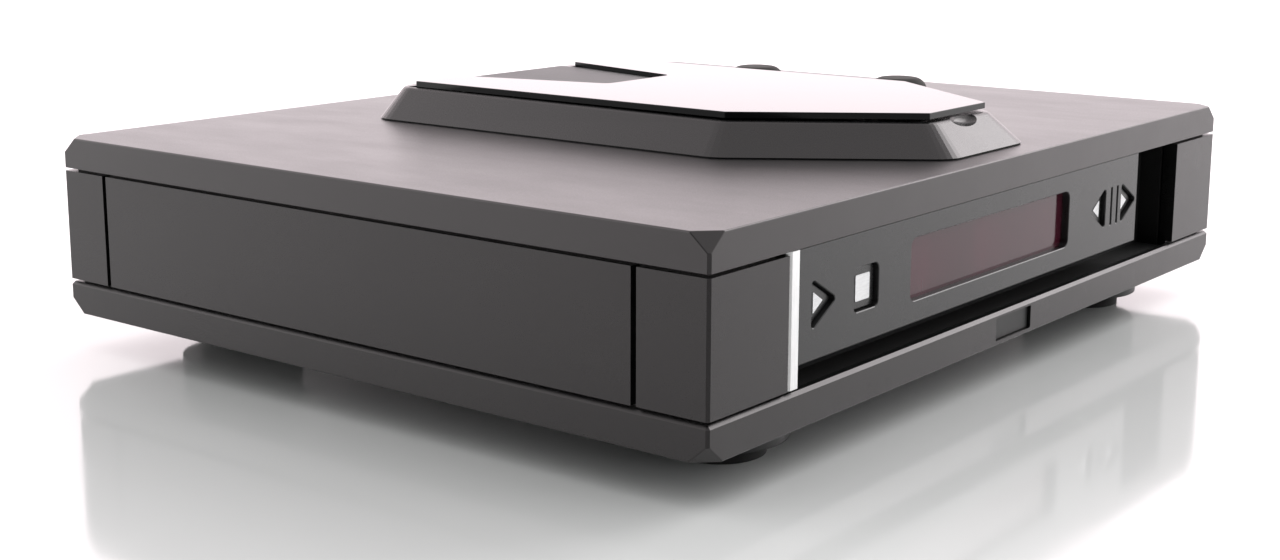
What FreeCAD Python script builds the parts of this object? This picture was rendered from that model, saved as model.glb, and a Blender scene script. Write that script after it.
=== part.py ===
import FreeCAD, Part
import math
import os
from FreeCAD import Vector

os.makedirs("parts", exist_ok=True)

# A top-loading compact disc player: a low box of two shallow covers, corner
# pillars and side panels, with a raised plinth and a hinged lid over the disc.
# Frame: millimetres, X to the right seen from the front, Y to the back, Z up.
# The origin is the centre of the outline, on the surface the feet stand on.

# ---- case: overall sizes ----
case_w = 432.0
case_d = 350.0
foot_h = 17.0
bottom_wall_h = 12.7       # straight part of the bottom cover's side
bottom_bevel = 1.3
shadow_gap = 1.35          # dark line between a cover and the band
band_h = 48.3              # pillars and side panels
top_cover_h = 13.4
lip_t = 4.0                # thickness of the covers' lips
floor_t = 2.5
roof_t = 3.0
facet_leg = 8.6            # corner facet along the edges
facet_drop = 7.4
corner_cut = 1.1           # small cut down every upright corner
edge_round = 0.7
liner_gap = 0.2            # clearance between pieces that lie against each other

# ---- corner pillars and side panels ----
pillar_front_w = 46.6
pillar_front_d = 30.1
pillar_rear_d = 27.2
pillar_t = 4.0
pillar_inner_t = 3.5
groove_w = 2.4
panel_t = 4.0
panel_back_t = 2.0

# ---- front: strip, fascia and the dark recess ----
strip_w = 6.2
strip_t = 8.0
strip_bevel = 1.7
recess_end_w = 46.2        # open recess between the fascia and the right pillar
fascia_t = 3.2
fascia_bottom = 23.2       # above the case's underside
fascia_edge = 0.5
pocket_edge = 0.3          # bevel round the openings in the fascia
recess_depth = 18.0
liner_t = 2.0
post_r = 2.5

# ---- display ----
window_left = 32.3         # from the middle of the stop button to the window
window_right = 38.3        # from the window to the previous button's upright side
window_z = 44.3
window_h = 24.7
window_r = 3.5
glass_t = 2.0
glass_lap = 3.0
module_t = 6.0

# ---- transport buttons ----
button_z = 43.6
button_sink = 2.0          # the faces lie this far behind the fascia
button_gap = 0.35
button_flange = 1.2
button_travel = 1.0
cap_round = 0.5
play_in = 8.2              # strip to the upright side of the play button
previous_in = 34.4         # upright side of each skip button to the fascia's end
next_in = 17.6
tri_w = 16.4
tri_h = 19.0
tri_r = 1.4
stop_from_play = 36.6
stop_w = 17.0
stop_h = 16.6
stop_r = 2.6
mark_w = 6.3
mark_h = 7.9
mark_square = 9.8
mark_t = 0.25
slot_w = 1.5
slot_h = 17.2
slot_depth = 1.6
slot_in = (28.3, 22.0)     # from the fascia's end

# ---- power button ----
power_x = 1.6
power_z = 6.9
power_w = 31.4
power_h = 9.8
power_sink = 1.4
power_gap = 0.3
power_travel = 1.2

# ---- lid and plinth ----
lid_half_w = 73.0
lid_shoulder_y = -78.2     # where the slanting front corners begin
lid_front_y = -146.2
lid_front_half = 24.0
lid_rear_y = 101.0
lid_t = 2.6
lid_edge = 0.3
lid_above = 17.4           # lid's top above the case's top
plinth_top_out = 2.0       # plinth's top edge beyond the lid
plinth_base_out = 15.6     # plinth's foot beyond the lid
plinth_front_h = 13.6
plinth_rear_h = 14.5
plinth_rear_top_y = 112.0
plinth_rear_base_y = 117.0
gasket_h = 0.7
gasket_in = 0.4
gasket_w = 7.5
plinth_round = 3.0          # along the crown
plinth_corner_r = 14.0      # round its corners at the foot
plinth_crown_r = 10.0       # and at the crown
plinth_cavity_in = 8.0
plinth_cavity_h = 7.0
notch_front_y = 24.0
notch_front_half = 23.8
notch_rear_half = 43.3
notch_r = 5.0
notch_gap = 0.8
block_below_lid = 2.3
block_half_max = 40.0
block_rear_y = 108.0
gutter_front_y = 80.0
gutter_rear_y = 105.4
gutter_depth = 6.0
scoop_x = 0.0
scoop_r = 11.0
scoop_h = 3.6
scoop_out = 2.4

# ---- lid hinge ----
hinge_y = 98.0
hinge_below = 5.4          # hinge axis below the lid's top
pin_r = 1.2
pin_fit = 0.05
lug_r = 2.7
lug_w = 8.0
lug_x = 51.0
lug_pad = 9.0

# ---- disc bay ----
bay_y = -58.0
bay_r = 63.0
bay_wall = 1.5
bay_gap = 0.5
bay_floor_t = 1.5
bay_rim_below = 0.6
bay_floor_up = 3.6         # underside of the bay's floor above the case's top
spindle_hole_r = 17.0
laser_slot_w = 22.0
slot_end_gap = 0.8
roof_hole_half = 62.0
roof_hole_front = -92.0
roof_hole_rear = 34.0

# ---- disc clamp in the lid ----
carrier_r = 30.0
carrier_t = 3.6
carrier_lip_t = 1.4
clamp_flange_r = 16.0
clamp_neck_r = 11.0
clamp_top_r = 14.0
clamp_slack = 0.3
magnet_r = 6.0
magnet_t = 1.5

# ---- laser mechanism ----
hub_r = 14.5
hub_t = 2.1
cone_r = 7.4
cone_h = 1.9
shaft_r = 1.0
shaft_fit = 0.05
motor_r = 13.9
motor_h = 11.9
rod_r = 1.5
rod_x = 24.0
rod_over = 13.0            # rod beyond the sled's outermost place
rod_front_y = -50.0
rod_z = 77.0               # above the case's underside
sled_front_y = -43.0
sled_d = 21.0
sled_h = 8.0
sled_travel = 33.0
lens_from_front = 9.0
turret_r = 4.4
lens_r = 2.6
screw_x = 33.5
screw_r = 1.5
screw_drop = 2.0
running_fit = 0.05
chassis_half = 50.0
chassis_front_y = -82.0
chassis_rear_y = 30.0
chassis_t = 1.5
isolator_r = 4.5

# ---- inside the case ----
board_t = 1.6
board_up = 7.0
board_side = 26.0          # from the case's right side
board_rear = 45.0          # from the case's back
board_left = -30.0
board_front = 105.0        # from the case's front
standoff_r = 3.0
standoff_in = 5.0
transformer_side = 96.0    # its middle, from the case's left side
transformer_rear = 120.0   # and from the case's back
transformer_r = 44.0
transformer_bore_r = 14.0
transformer_h = 34.0
transformer_round = 5.0
clamp_plate_r = 20.0
clamp_plate_t = 1.5
clamp_bolt_r = 3.0
clamp_nut_r = 5.5
clamp_nut_h = 3.0
capacitor_r = 9.0
capacitor_h = 28.0
capacitor_pitch = 24.0
capacitor_count = 4
capacitor_in = 30.0        # first one, from the board's left edge
capacitor_rear = 35.0      # row, from the board's rear edge
sink_w = 60.0
sink_in = 20.0             # from the board's right edge
sink_rear = 52.0           # from the board's rear edge
sink_depth = 18.0
sink_h = 26.0
sink_plate_t = 3.0
fin_t = 2.0
fin_count = 8
chip_big = 26.0
chip_big_h = 2.4
chip_long = 18.0
chip_wide = 10.0
chip_small_h = 3.0

rear_inset = 10.0          # rear panel in from the case's back
rear_panel_t = 2.0

# ---- rear sockets ----
phono_r = 4.15
phono_len = 8.0
phono_x = (-60.0, -36.0)
coax_x = 34.0
optical_x = 10.0
phono_z = 40.0
inlet_x = 120.0
inlet_z = 34.0
inlet_w = 27.0
inlet_h = 20.0
inlet_wall = 1.8
inlet_depth = 17.0
inlet_ear = 10.0
inlet_rim = 1.5
inlet_proud = 2.0
pin_w = 2.0
pin_h = 4.0
pin_side = 7.0
pin_drop = 2.0
phono_behind = 6.0         # how far a socket reaches in behind the rear panel
phono_wall = 0.6
phono_nut_r = 7.0
phono_nut_h = 1.6
phono_pin_r = 1.6
optical_w = 10.0
optical_port = 6.0
optical_behind = 10.0
optical_proud = 2.5
optical_port_d = 4.0

# ---- feet and case screws ----
foot_side = 61.5           # a foot's middle in from the case's side
foot_end = 40.6            # and in from its front and back
foot_collar_r = 27.0
foot_collar_h = 10.5
foot_pad_r = 19.5
foot_round = 1.0
foot_bore_r = 4.5
foot_bore_d = 3.0
screw_r = 3.2
screw_h = 1.2
screw_away = 10.0          # from a foot's edge

# ---- pucks on the top cover ----
puck_r = 14.0
puck_h = 15.0
puck_round = 3.0
puck_gap = 3.4             # to the plinth's foot
puck_front_y = -55.7
puck_pitch = 85.3

# ---- places that follow ----
hw = case_w / 2
hd = case_d / 2
strip_x1 = -hw + pillar_front_w + strip_w
fascia_right = hw - pillar_front_w - recess_end_w
play_x = strip_x1 + play_in
stop_x = play_x + stop_from_play
previous_x = fascia_right - previous_in
next_x = fascia_right - next_in
slot_x = (fascia_right - slot_in[0], fascia_right - slot_in[1])
window_x0 = stop_x + window_left
window_w = previous_x - window_right - window_x0
window_x = window_x0 + window_w / 2
case_z0 = foot_h
lip0_z1 = case_z0 + bottom_wall_h + bottom_bevel
band_z0 = lip0_z1 + shadow_gap
band_z1 = band_z0 + band_h
top_z0 = band_z1 + shadow_gap
top_z1 = top_z0 + top_cover_h
floor_z = case_z0 + floor_t
roof_z = top_z1 - roof_t
front_y = -hd
liner_y = front_y + recess_depth
lid_z1 = top_z1 + lid_above
lid_z0 = lid_z1 - lid_t
hinge_z = lid_z1 - hinge_below


def save(shape, name):
    shape = shape.removeSplitter()
    shape.exportStep("parts/" + name + ".step")


def box(x0, x1, y0, y1, z0, z1):
    return Part.makeBox(x1 - x0, y1 - y0, z1 - z0, Vector(x0, y0, z0))


def rod(x, y, z, r, length, axis):
    return Part.makeCylinder(r, length, Vector(x, y, z), Vector(*axis))


def fuse(shapes):
    result = shapes[0]
    for other in shapes[1:]:
        result = result.fuse(other)
    return result.removeSplitter()


def mirror_x(shape):
    return shape.mirror(Vector(0, 0, 0), Vector(1, 0, 0))


def polygon(points):
    return Part.makePolygon([Vector(*p) for p in points] + [Vector(*points[0])])


def prism(points, z0, z1):
    """A flat outline in X and Y carried up from z0 to z1."""
    face = Part.Face(polygon([(x, y, z0) for x, y in points]))
    return face.extrude(Vector(0, 0, z1 - z0))


def front_prism(points, y0, y1):
    """A flat outline in X and Z carried back from y0 to y1."""
    face = Part.Face(polygon([(x, y0, z) for x, z in points]))
    return face.extrude(Vector(0, y1 - y0, 0))


def round_upright(shape, axis, r):
    """Round every straight edge of a prism that runs along its own axis."""
    edges = []
    for edge in shape.Edges:
        a = edge.Vertexes[0].Point
        b = edge.Vertexes[-1].Point
        d = b.sub(a)
        if d.Length > 1e-6 and abs(d.normalize().dot(axis)) > 0.999:
            edges.append(edge)
    return shape.makeFillet(r, edges)


def rounded_window(x, z, w, h, r, y0, y1):
    block = box(x - w / 2, x + w / 2, y0, y1, z - h / 2, z + h / 2)
    return round_upright(block, Vector(0, 1, 0), r)


def front_edges(shape, y, x0, x1, z0, z1):
    """The edges that lie in one upright plane inside a window in X and Z."""
    edges = []
    for edge in shape.Edges:
        b = edge.BoundBox
        flat = abs(b.YMin - y) < 1e-4 and abs(b.YMax - y) < 1e-4
        wide = b.XMin > x0 and b.XMax < x1
        high = b.ZMin > z0 and b.ZMax < z1
        if flat and wide and high:
            edges.append(edge)
    return edges


def outline_offset(out):
    """The lid's outline moved outward, as its four front points from the left."""
    run = lid_half_w - lid_front_half
    rise = lid_front_y - lid_shoulder_y
    length = math.hypot(run, rise)
    nx = rise / length
    ny = -run / length
    px = -lid_half_w + nx * out
    py = lid_shoulder_y + ny * out
    left = -(lid_half_w + out)
    t = (left - px) / run
    shoulder = (left, py + t * rise)
    front = lid_front_y - out
    t = (front - py) / rise
    corner = (px + t * run, front)
    return [shoulder, corner, (-corner[0], corner[1]), (-shoulder[0], shoulder[1])]


def lid_polygon(out, rear_y):
    points = outline_offset(out)
    side = lid_half_w + out
    return [(-side, rear_y)] + points + [(side, rear_y)]


def rounded_outline(points, r):
    """An outline with each corner turned into an arc of short straight runs."""
    out = []
    count = len(points)
    for i in range(count):
        corner = Vector(*points[i], 0)
        back = (Vector(*points[i - 1], 0) - corner).normalize()
        ahead = (Vector(*points[(i + 1) % count], 0) - corner).normalize()
        turn = math.pi - back.getAngle(ahead)
        if turn < 0.05:
            out.append(points[i])
            continue
        reach = r * math.tan(turn / 2)
        middle = corner + (back + ahead).normalize() * (r / math.cos(turn / 2))
        start, end = corner + back * reach - middle, corner + ahead * reach - middle
        runs = max(2, round(math.degrees(turn) / 12))
        for k in range(runs + 1):
            f = k / runs
            p = middle + (start * math.sin((1 - f) * turn) + end * math.sin(f * turn)) * (
                1 / math.sin(turn))
            out.append((p.x, p.y))
    return out


def loft_through(rings):
    """A solid with flat faces through outlines of as many points."""
    faces = [Part.Face(polygon(rings[0])), Part.Face(polygon(rings[-1]))]
    count = len(rings[0])
    for low, high in zip(rings, rings[1:]):
        for i in range(count):
            j = (i + 1) % count
            faces.append(Part.Face(polygon([low[i], low[j], high[j]])))
            faces.append(Part.Face(polygon([low[i], high[j], high[i]])))
    solid = Part.Solid(Part.Shell(faces))
    if solid.Volume < 0:
        solid.reverse()
    return solid


def corner_wedge(sx, sy, z, drop):
    """The piece that a slanting plane takes off one corner of the case."""
    c = Vector(sx * hw, sy * hd, z)
    normal = Vector(sx / facet_leg, sy / facet_leg, 1.0 / drop)
    middle = c.sub(Vector(sx * facet_leg / 3, sy * facet_leg / 3, drop / 3))
    size = 60.0
    block = Part.makeBox(size, size, size, Vector(-size / 2, -size / 2, 0))
    turn = FreeCAD.Rotation(Vector(0, 0, 1), normal)
    block.Placement = FreeCAD.Placement(middle, turn)
    return block


def cut_corners(shape, z, drop):
    for sx in (-1, 1):
        for sy in (-1, 1):
            shape = shape.cut(corner_wedge(sx, sy, z, drop))
    return shape


def case_block(z0, z1):
    block = box(-hw, hw, -hd, hd, z0, z1)
    upright = []
    for edge in block.Edges:
        a = edge.Vertexes[0].Point
        b = edge.Vertexes[-1].Point
        if abs(a.z - b.z) > 1.0:
            upright.append(edge)
    return block.makeChamfer(corner_cut, upright)


def round_level(shape, z, r):
    """Round the edges that lie in one level plane, and the facets' own edges."""
    edges = []
    for edge in shape.Edges:
        a = edge.Vertexes[0].Point
        b = edge.Vertexes[-1].Point
        level = abs(a.z - z) < 1e-4 and abs(b.z - z) < 1e-4
        near = min(abs(a.z - z), abs(b.z - z)) < 1e-4
        slanting = abs(a.z - b.z) > 1e-4 and near
        if level or slanting:
            edges.append(edge)
    return shape.makeFillet(r, edges)


# ---------------------------------------------------------------- covers
bottom = case_block(case_z0, lip0_z1)
top_ring = []
for edge in bottom.Edges:
    zs = [v.Point.z for v in edge.Vertexes]
    if min(zs) > lip0_z1 - 1e-4:
        top_ring.append(edge)
bottom = bottom.makeChamfer(bottom_bevel, top_ring)
bottom = cut_corners(bottom, case_z0, -facet_drop)
bottom = round_level(bottom, case_z0, edge_round)
bottom_room = box(-hw + lip_t, hw - lip_t, -hd + lip_t, hd - lip_t, floor_z, lip0_z1 + 1)
bottom = bottom.cut(bottom_room)
power_cx = power_x
power_cz = case_z0 + power_z
power_hole = rounded_window(power_cx, power_cz, power_w, power_h, 0.8, front_y - 1, front_y + lip_t + 1)
bottom = bottom.cut(power_hole)

top = case_block(top_z0, top_z1)
top = cut_corners(top, top_z1, facet_drop)
top = round_level(top, top_z1, edge_round)
top = top.cut(box(-hw + lip_t, hw - lip_t, -hd + lip_t, hd - lip_t, top_z0 - 1, roof_z))
roof_hole = box(-roof_hole_half, roof_hole_half, roof_hole_front, roof_hole_rear, roof_z - 1, top_z1 + 1)
roof_hole = round_upright(roof_hole, Vector(0, 0, 1), 6.0)
top = top.cut(roof_hole)

# ---------------------------------------------------------------- pillars
def pillar(sx, sy):
    """An upright angle: flush outer wings and an inner angle behind the lips."""
    wing_d = pillar_front_d if sy < 0 else pillar_rear_d
    a = box(0, pillar_front_w, 0, pillar_t, band_z0, band_z1)
    b = box(0, pillar_t, 0, wing_d, band_z0, band_z1)
    outer = a.fuse(b).removeSplitter()
    cut = []
    for edge in outer.Edges:
        p = edge.Vertexes[0].Point
        q = edge.Vertexes[-1].Point
        if max(abs(p.x), abs(p.y), abs(q.x), abs(q.y)) < 1e-6:
            cut.append(edge)
    outer = outer.makeChamfer(corner_cut, cut)
    i0 = lip_t + liner_gap
    i1 = lip_t + pillar_inner_t
    z0 = floor_z
    z1 = roof_z
    inner_a = box(i0, pillar_front_w - 2, i0, i1, z0, z1)
    inner_b = box(i0, i1, i0, wing_d - 1, z0, z1)
    key_a = box(pillar_t - 1, pillar_front_w - 6, pillar_t - 0.5, i1, band_z0 + 3, band_z1 - 3)
    key_b = box(pillar_t - 0.5, i1, pillar_t - 1, wing_d - 6, band_z0 + 3, band_z1 - 3)
    whole = fuse([outer, inner_a, inner_b, key_a, key_b])
    whole.translate(Vector(-hw, -hd, 0))
    if sx > 0:
        whole = whole.mirror(Vector(0, 0, 0), Vector(1, 0, 0))
    if sy > 0:
        whole = whole.mirror(Vector(0, 0, 0), Vector(0, 1, 0))
    return whole


pillars = {
    "pillar_front_left": pillar(-1, -1),
    "pillar_front_right": pillar(1, -1),
    "pillar_rear_left": pillar(-1, 1),
    "pillar_rear_right": pillar(1, 1),
}

# ---------------------------------------------------------------- side panels
panel_y0 = -hd + pillar_front_d + groove_w
panel_y1 = hd - pillar_rear_d - groove_w
carrier_y0 = -hd + pillar_front_d - 1 + liner_gap
carrier_y1 = hd - pillar_rear_d + 1 - liner_gap
panel_outer = box(-hw, -hw + panel_t, panel_y0, panel_y1, band_z0, band_z1)
key0 = panel_y0 + 2
key1 = panel_y1 - 2
panel_key = box(-hw + panel_t - 0.5, -hw + lip_t + 1, key0, key1, band_z0 + 2, band_z1 - 2)
carrier_x0 = -hw + lip_t + liner_gap
panel_inner = box(carrier_x0, carrier_x0 + panel_back_t, carrier_y0, carrier_y1, floor_z, roof_z)
side_panel = fuse([panel_outer, panel_key, panel_inner])

# ---------------------------------------------------------------- front
strip_x0 = -hw + pillar_front_w
strip_x1 = strip_x0 + strip_w
fascia_x0 = strip_x1 + liner_gap
fascia_x1 = fascia_right
fascia_z0 = case_z0 + fascia_bottom
fascia_z1 = top_z0 - liner_gap
strip_points = [
    (strip_x0, front_y + strip_bevel),
    (strip_x0 + strip_bevel, front_y),
    (strip_x1, front_y),
    (strip_x1, front_y + strip_t),
    (strip_x0, front_y + strip_t),
]
strip = prism(strip_points, band_z0, fascia_z1)

pane_cz = case_z0 + window_z
pane_x0 = window_x - window_w / 2
pane_x1 = window_x + window_w / 2
fascia = box(fascia_x0, fascia_x1, front_y, front_y + fascia_t, fascia_z0, fascia_z1)
low_right = []
for edge in fascia.Edges:
    p = edge.Vertexes[0].Point
    q = edge.Vertexes[-1].Point
    at_front = abs(p.y - front_y) < 1e-6 and abs(q.y - front_y) < 1e-6
    along_low = abs(p.z - fascia_z0) < 1e-6 and abs(q.z - fascia_z0) < 1e-6
    along_right = abs(p.x - fascia_x1) < 1e-6 and abs(q.x - fascia_x1) < 1e-6
    if at_front and (along_low or along_right):
        low_right.append(edge)
fascia = fascia.makeChamfer(fascia_edge, low_right)
fascia = fascia.cut(rounded_window(
    window_x, pane_cz, window_w, window_h, window_r, front_y - 1, front_y + fascia_t + 1))


def triangle_points(x, z, w, h, out):
    """A triangle with its upright side at x and its point w away; out grows it."""
    sign = 1.0 if w > 0 else -1.0
    slope = math.hypot(abs(w), h / 2)
    reach = out * slope / (h / 2)
    side = x - sign * out
    tip = x + w + sign * reach
    half = (abs(tip - side)) * (h / 2) / abs(w)
    return [(side, z - half), (tip, z), (side, z + half)]


def triangle_prism(x, z, w, h, out, r, y0, y1):
    solid = front_prism(triangle_points(x, z, w, h, out), y0, y1)
    return round_upright(solid, Vector(0, 1, 0), r)


button_cz = case_z0 + button_z
cap_y0 = front_y + button_sink
cap_y1 = front_y + fascia_t + liner_gap
flange_t = 1.2
stem_y1 = cap_y1 + 3.4
switch_y0 = stem_y1 + button_travel + 0.3
triangles = {
    "play": (play_x, tri_w),
    "previous": (previous_x, -tri_w),
    "next": (next_x, tri_w),
}
caps = {}
marks = {}
stem_x = {}
for name, (x, w) in triangles.items():
    y_out = front_y + fascia_t + 1
    pocket = triangle_prism(x, button_cz, w, tri_h, 0, tri_r, front_y - 1, y_out)
    fascia = fascia.cut(pocket)
    cap = triangle_prism(x, button_cz, w, tri_h, -button_gap, tri_r, cap_y0, cap_y1 + flange_t)
    cap = cap.makeFillet(cap_round, front_edges(cap, cap_y0, -hw, hw, 0, roof_z))
    wide = triangle_prism(
        x, button_cz, w, tri_h, button_flange, tri_r, cap_y1, cap_y1 + flange_t)
    cx = x + w / 3
    stem_x[name] = cx
    stem = rod(cx, cap_y1 + 0.5, button_cz, 2.0, stem_y1 - cap_y1 - 0.5, (0, 1, 0))
    caps[name] = fuse([cap, wide, stem])
    sign = 1.0 if w > 0 else -1.0
    mx = cx - sign * mark_w / 3
    marks[name] = triangle_prism(
        mx, button_cz, sign * mark_w, mark_h, 0, 0.25, cap_y0 - mark_t, cap_y0)
stop_pocket = rounded_window(
    stop_x, button_cz, stop_w, stop_h, stop_r, front_y - 1, front_y + fascia_t + 1)
fascia = fascia.cut(stop_pocket)
cap = rounded_window(
    stop_x, button_cz, stop_w - 2 * button_gap, stop_h - 2 * button_gap,
    stop_r - button_gap, cap_y0, cap_y1 + flange_t)
cap = cap.makeFillet(cap_round, front_edges(cap, cap_y0, -hw, hw, 0, roof_z))
wide = rounded_window(
    stop_x, button_cz, stop_w + 2 * button_flange, stop_h + 2 * button_flange,
    stop_r, cap_y1, cap_y1 + flange_t)
stem = rod(stop_x, cap_y1 + 0.5, button_cz, 2.0, stem_y1 - cap_y1 - 0.5, (0, 1, 0))
caps["stop"] = fuse([cap, wide, stem])
stem_x["stop"] = stop_x
marks["stop"] = rounded_window(
    stop_x, button_cz, mark_square, mark_square, 0.6, cap_y0 - mark_t, cap_y0)
for x in slot_x:
    slot = box(
        x - slot_w / 2, x + slot_w / 2, front_y - 1, front_y + slot_depth,
        button_cz - slot_h / 2, button_cz + slot_h / 2)
    fascia = fascia.cut(slot)
outlines = front_edges(
    fascia, front_y, fascia_x0 + 1, fascia_x1 - 0.6, fascia_z0 + 1, fascia_z1 - 1)
fascia = fascia.makeChamfer(pocket_edge, outlines)
for x in (fascia_x0 + 6, fascia_x1 - 6):
    for z in (fascia_z0 + 5, fascia_z1 - 5):
        fascia = fascia.fuse(rod(
            x, front_y + fascia_t - 0.5, z, post_r,
            recess_depth - fascia_t + 0.5, (0, 1, 0)))
fascia = fascia.removeSplitter()

# the dark liner behind and around the fascia
shelf_z0 = lip0_z1 - 2.0
shelf_z1 = shelf_z0 + 1.0
wall_x0 = -hw + pillar_front_w - 2 + liner_gap
wall_x1 = hw - pillar_front_w + 1
bulkhead_half = hw - lip_t - pillar_inner_t - liner_gap
shelf_y0 = front_y + lip_t + liner_gap
liner = fuse([
    box(-bulkhead_half, bulkhead_half, liner_y, liner_y + liner_t, shelf_z0, roof_z),
    box(wall_x0, wall_x1, shelf_y0, liner_y + 0.5, shelf_z0, shelf_z1),
    box(wall_x1 - 1.2, wall_x1, front_y + lip_t + pillar_inner_t + liner_gap,
        liner_y + 0.5, shelf_z0, roof_z),
])

# display glass, module, boards
glass_y0 = front_y + fascia_t
glass = rounded_window(
    window_x, pane_cz, window_w + 2 * glass_lap, window_h + 2 * glass_lap, window_r,
    glass_y0, glass_y0 + glass_t)
front_board_y0 = switch_y0 + 4.0
front_board = box(
    fascia_x0 + 1, fascia_x1 - 1, front_board_y0, front_board_y0 + board_t,
    fascia_z0 + 1, fascia_z1 - 1)
for x in (fascia_x0 + 6, fascia_x1 - 6):
    for z in (fascia_z0 + 5, fascia_z1 - 5):
        front_board = front_board.cut(rod(
            x, front_board_y0 - 1, z, post_r + 0.3, board_t + 2, (0, 1, 0)))
module_x1 = pane_x1 - 14
module = box(
    pane_x0 + 2, module_x1, front_board_y0 - module_t, front_board_y0,
    pane_cz - window_h / 2 + 1, pane_cz + window_h / 2 - 1)
module_pip = rod(
    pane_x0 - 1, front_board_y0 - module_t / 2, pane_cz, 1.6, 4, (1, 0, 0))
module = module.fuse(module_pip).removeSplitter()
receiver = box(
    module_x1 + 3, module_x1 + 10, front_board_y0 - 4, front_board_y0,
    pane_cz - 4, pane_cz + 4)
receiver_dome = Part.makeSphere(2.0, Vector(module_x1 + 6.5, front_board_y0 - 4, pane_cz))
receiver = receiver.fuse(receiver_dome).removeSplitter()
switches = []
for x in stem_x.values():
    switches.append(box(
        x - 3, x + 3, switch_y0, front_board_y0, button_cz - 3, button_cz + 3))
button_switches = Part.makeCompound(switches)

# ---------------------------------------------------------------- power button
power_cap_y0 = front_y + power_sink
power_flange_y = front_y + lip_t + liner_gap
power_cap = rounded_window(
    power_cx, power_cz, power_w - 2 * power_gap, power_h - 2 * power_gap, 0.5,
    power_cap_y0, power_flange_y + 1.2)
power_wide = box(
    power_cx - power_w / 2 - 1.5, power_cx + power_w / 2 + 1.5, power_flange_y,
    power_flange_y + 1.2, power_cz - power_h / 2 + power_gap, shelf_z0 - 0.4)
power_stem_y1 = power_flange_y + 8
power_stem = box(
    power_cx - 3, power_cx + 3, power_flange_y, power_stem_y1,
    power_cz - 1.5, power_cz + 2.5)
power_button = fuse([power_cap, power_wide, power_stem])
power_room = box(
    power_cx - power_w / 2 - 2, power_cx + power_w / 2 + 2, front_y + lip_t - 0.01,
    power_stem_y1 + 3, power_cz - power_h / 2, floor_z + 0.01)
bottom = bottom.cut(power_room)
power_switch_y0 = power_stem_y1 + power_travel + 0.3
power_switch = box(
    power_cx - 9, power_cx + 9, power_switch_y0, power_switch_y0 + 16,
    floor_z, shelf_z0 - 0.6)

# ---------------------------------------------------------------- plinth
def level(points, z):
    return [(x, y, z) for x, y in points]


def top_level(y):
    """Height of the plinth's top, which rises a little to the back."""
    run = plinth_rear_top_y - lid_front_y
    return top_z1 + plinth_front_h + (plinth_rear_h - plinth_front_h) * (y - lid_front_y) / run


gasket_z1 = top_z1 + gasket_h
rear_lean = (plinth_rear_base_y - plinth_rear_top_y) / (plinth_base_out - plinth_top_out)


def plinth_ring(out, drop, r):
    """One outline of the plinth: how far beyond the lid, how far below the crown."""
    beyond = out - plinth_top_out
    rear_y = plinth_rear_top_y + beyond * (rear_lean if beyond > 0 else 1.0)
    points = rounded_outline(lid_polygon(out, rear_y), r)
    if drop is None:
        return level(points, gasket_z1)
    return [(x, y, top_level(y) - drop) for x, y in points]


crown_reach = plinth_round * math.tan(math.pi / 8)
lean = crown_reach * math.sqrt(0.5)
plinth_rings = [plinth_ring(plinth_base_out, None, plinth_corner_r)]
for f in (0.0, 1 / 3, 2 / 3, 1.0):
    plinth_rings.append(plinth_ring(
        plinth_top_out + (1 - f) ** 2 * lean - f ** 2 * crown_reach,
        (1 - f) ** 2 * lean, plinth_crown_r))
plinth = loft_through(plinth_rings).removeSplitter()
cavity_out = plinth_base_out - plinth_cavity_in
cavity_z1 = top_z1 + plinth_cavity_h
cavity = prism(
    lid_polygon(cavity_out, plinth_rear_base_y - plinth_cavity_in), top_z1 - 1, cavity_z1)
plinth = plinth.cut(cavity)
bore_r = bay_r + bay_wall + bay_gap
plinth = plinth.cut(rod(0, bay_y, top_z1, bore_r, 40, (0, 0, 1)))
gutter_z = top_level(hinge_y) - gutter_depth
gutter_half = lid_half_w + 0.8
gutter = box(-gutter_half, gutter_half, gutter_front_y, gutter_rear_y, gutter_z, lid_z1)
plinth = plinth.cut(gutter)
scoop_z = top_level(lid_front_y)
scoop = Part.makeSphere(scoop_r, Vector(0, 0, 0))
squash = FreeCAD.Matrix()
squash.scale(1.0, scoop_out / scoop_r * 2.4, scoop_h / scoop_r)
scoop = scoop.transformGeometry(squash)
scoop.translate(Vector(scoop_x, lid_front_y - plinth_top_out - scoop_out, scoop_z))
plinth = plinth.cut(scoop)

gasket_out = plinth_base_out - gasket_in
gasket = prism(
    rounded_outline(lid_polygon(gasket_out, plinth_rear_base_y - gasket_in), plinth_corner_r),
    top_z1, gasket_z1)
gasket = gasket.cut(prism(
    lid_polygon(gasket_out - gasket_w, plinth_rear_base_y - gasket_in - gasket_w),
    top_z1 - 1, gasket_z1 + 1))


def notch_half(y):
    run = lid_rear_y - notch_front_y
    return notch_front_half + (notch_rear_half - notch_front_half) * (y - notch_front_y) / run


def round_near_front(shape, y, r):
    """Round the two upright edges that stand at the given front line."""
    edges = []
    for edge in shape.Edges:
        p = edge.Vertexes[0].Point
        q = edge.Vertexes[-1].Point
        if abs(p.z - q.z) > 1 and abs(p.y - y) < 1e-6:
            edges.append(edge)
    return shape.makeFillet(r, edges)


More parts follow.
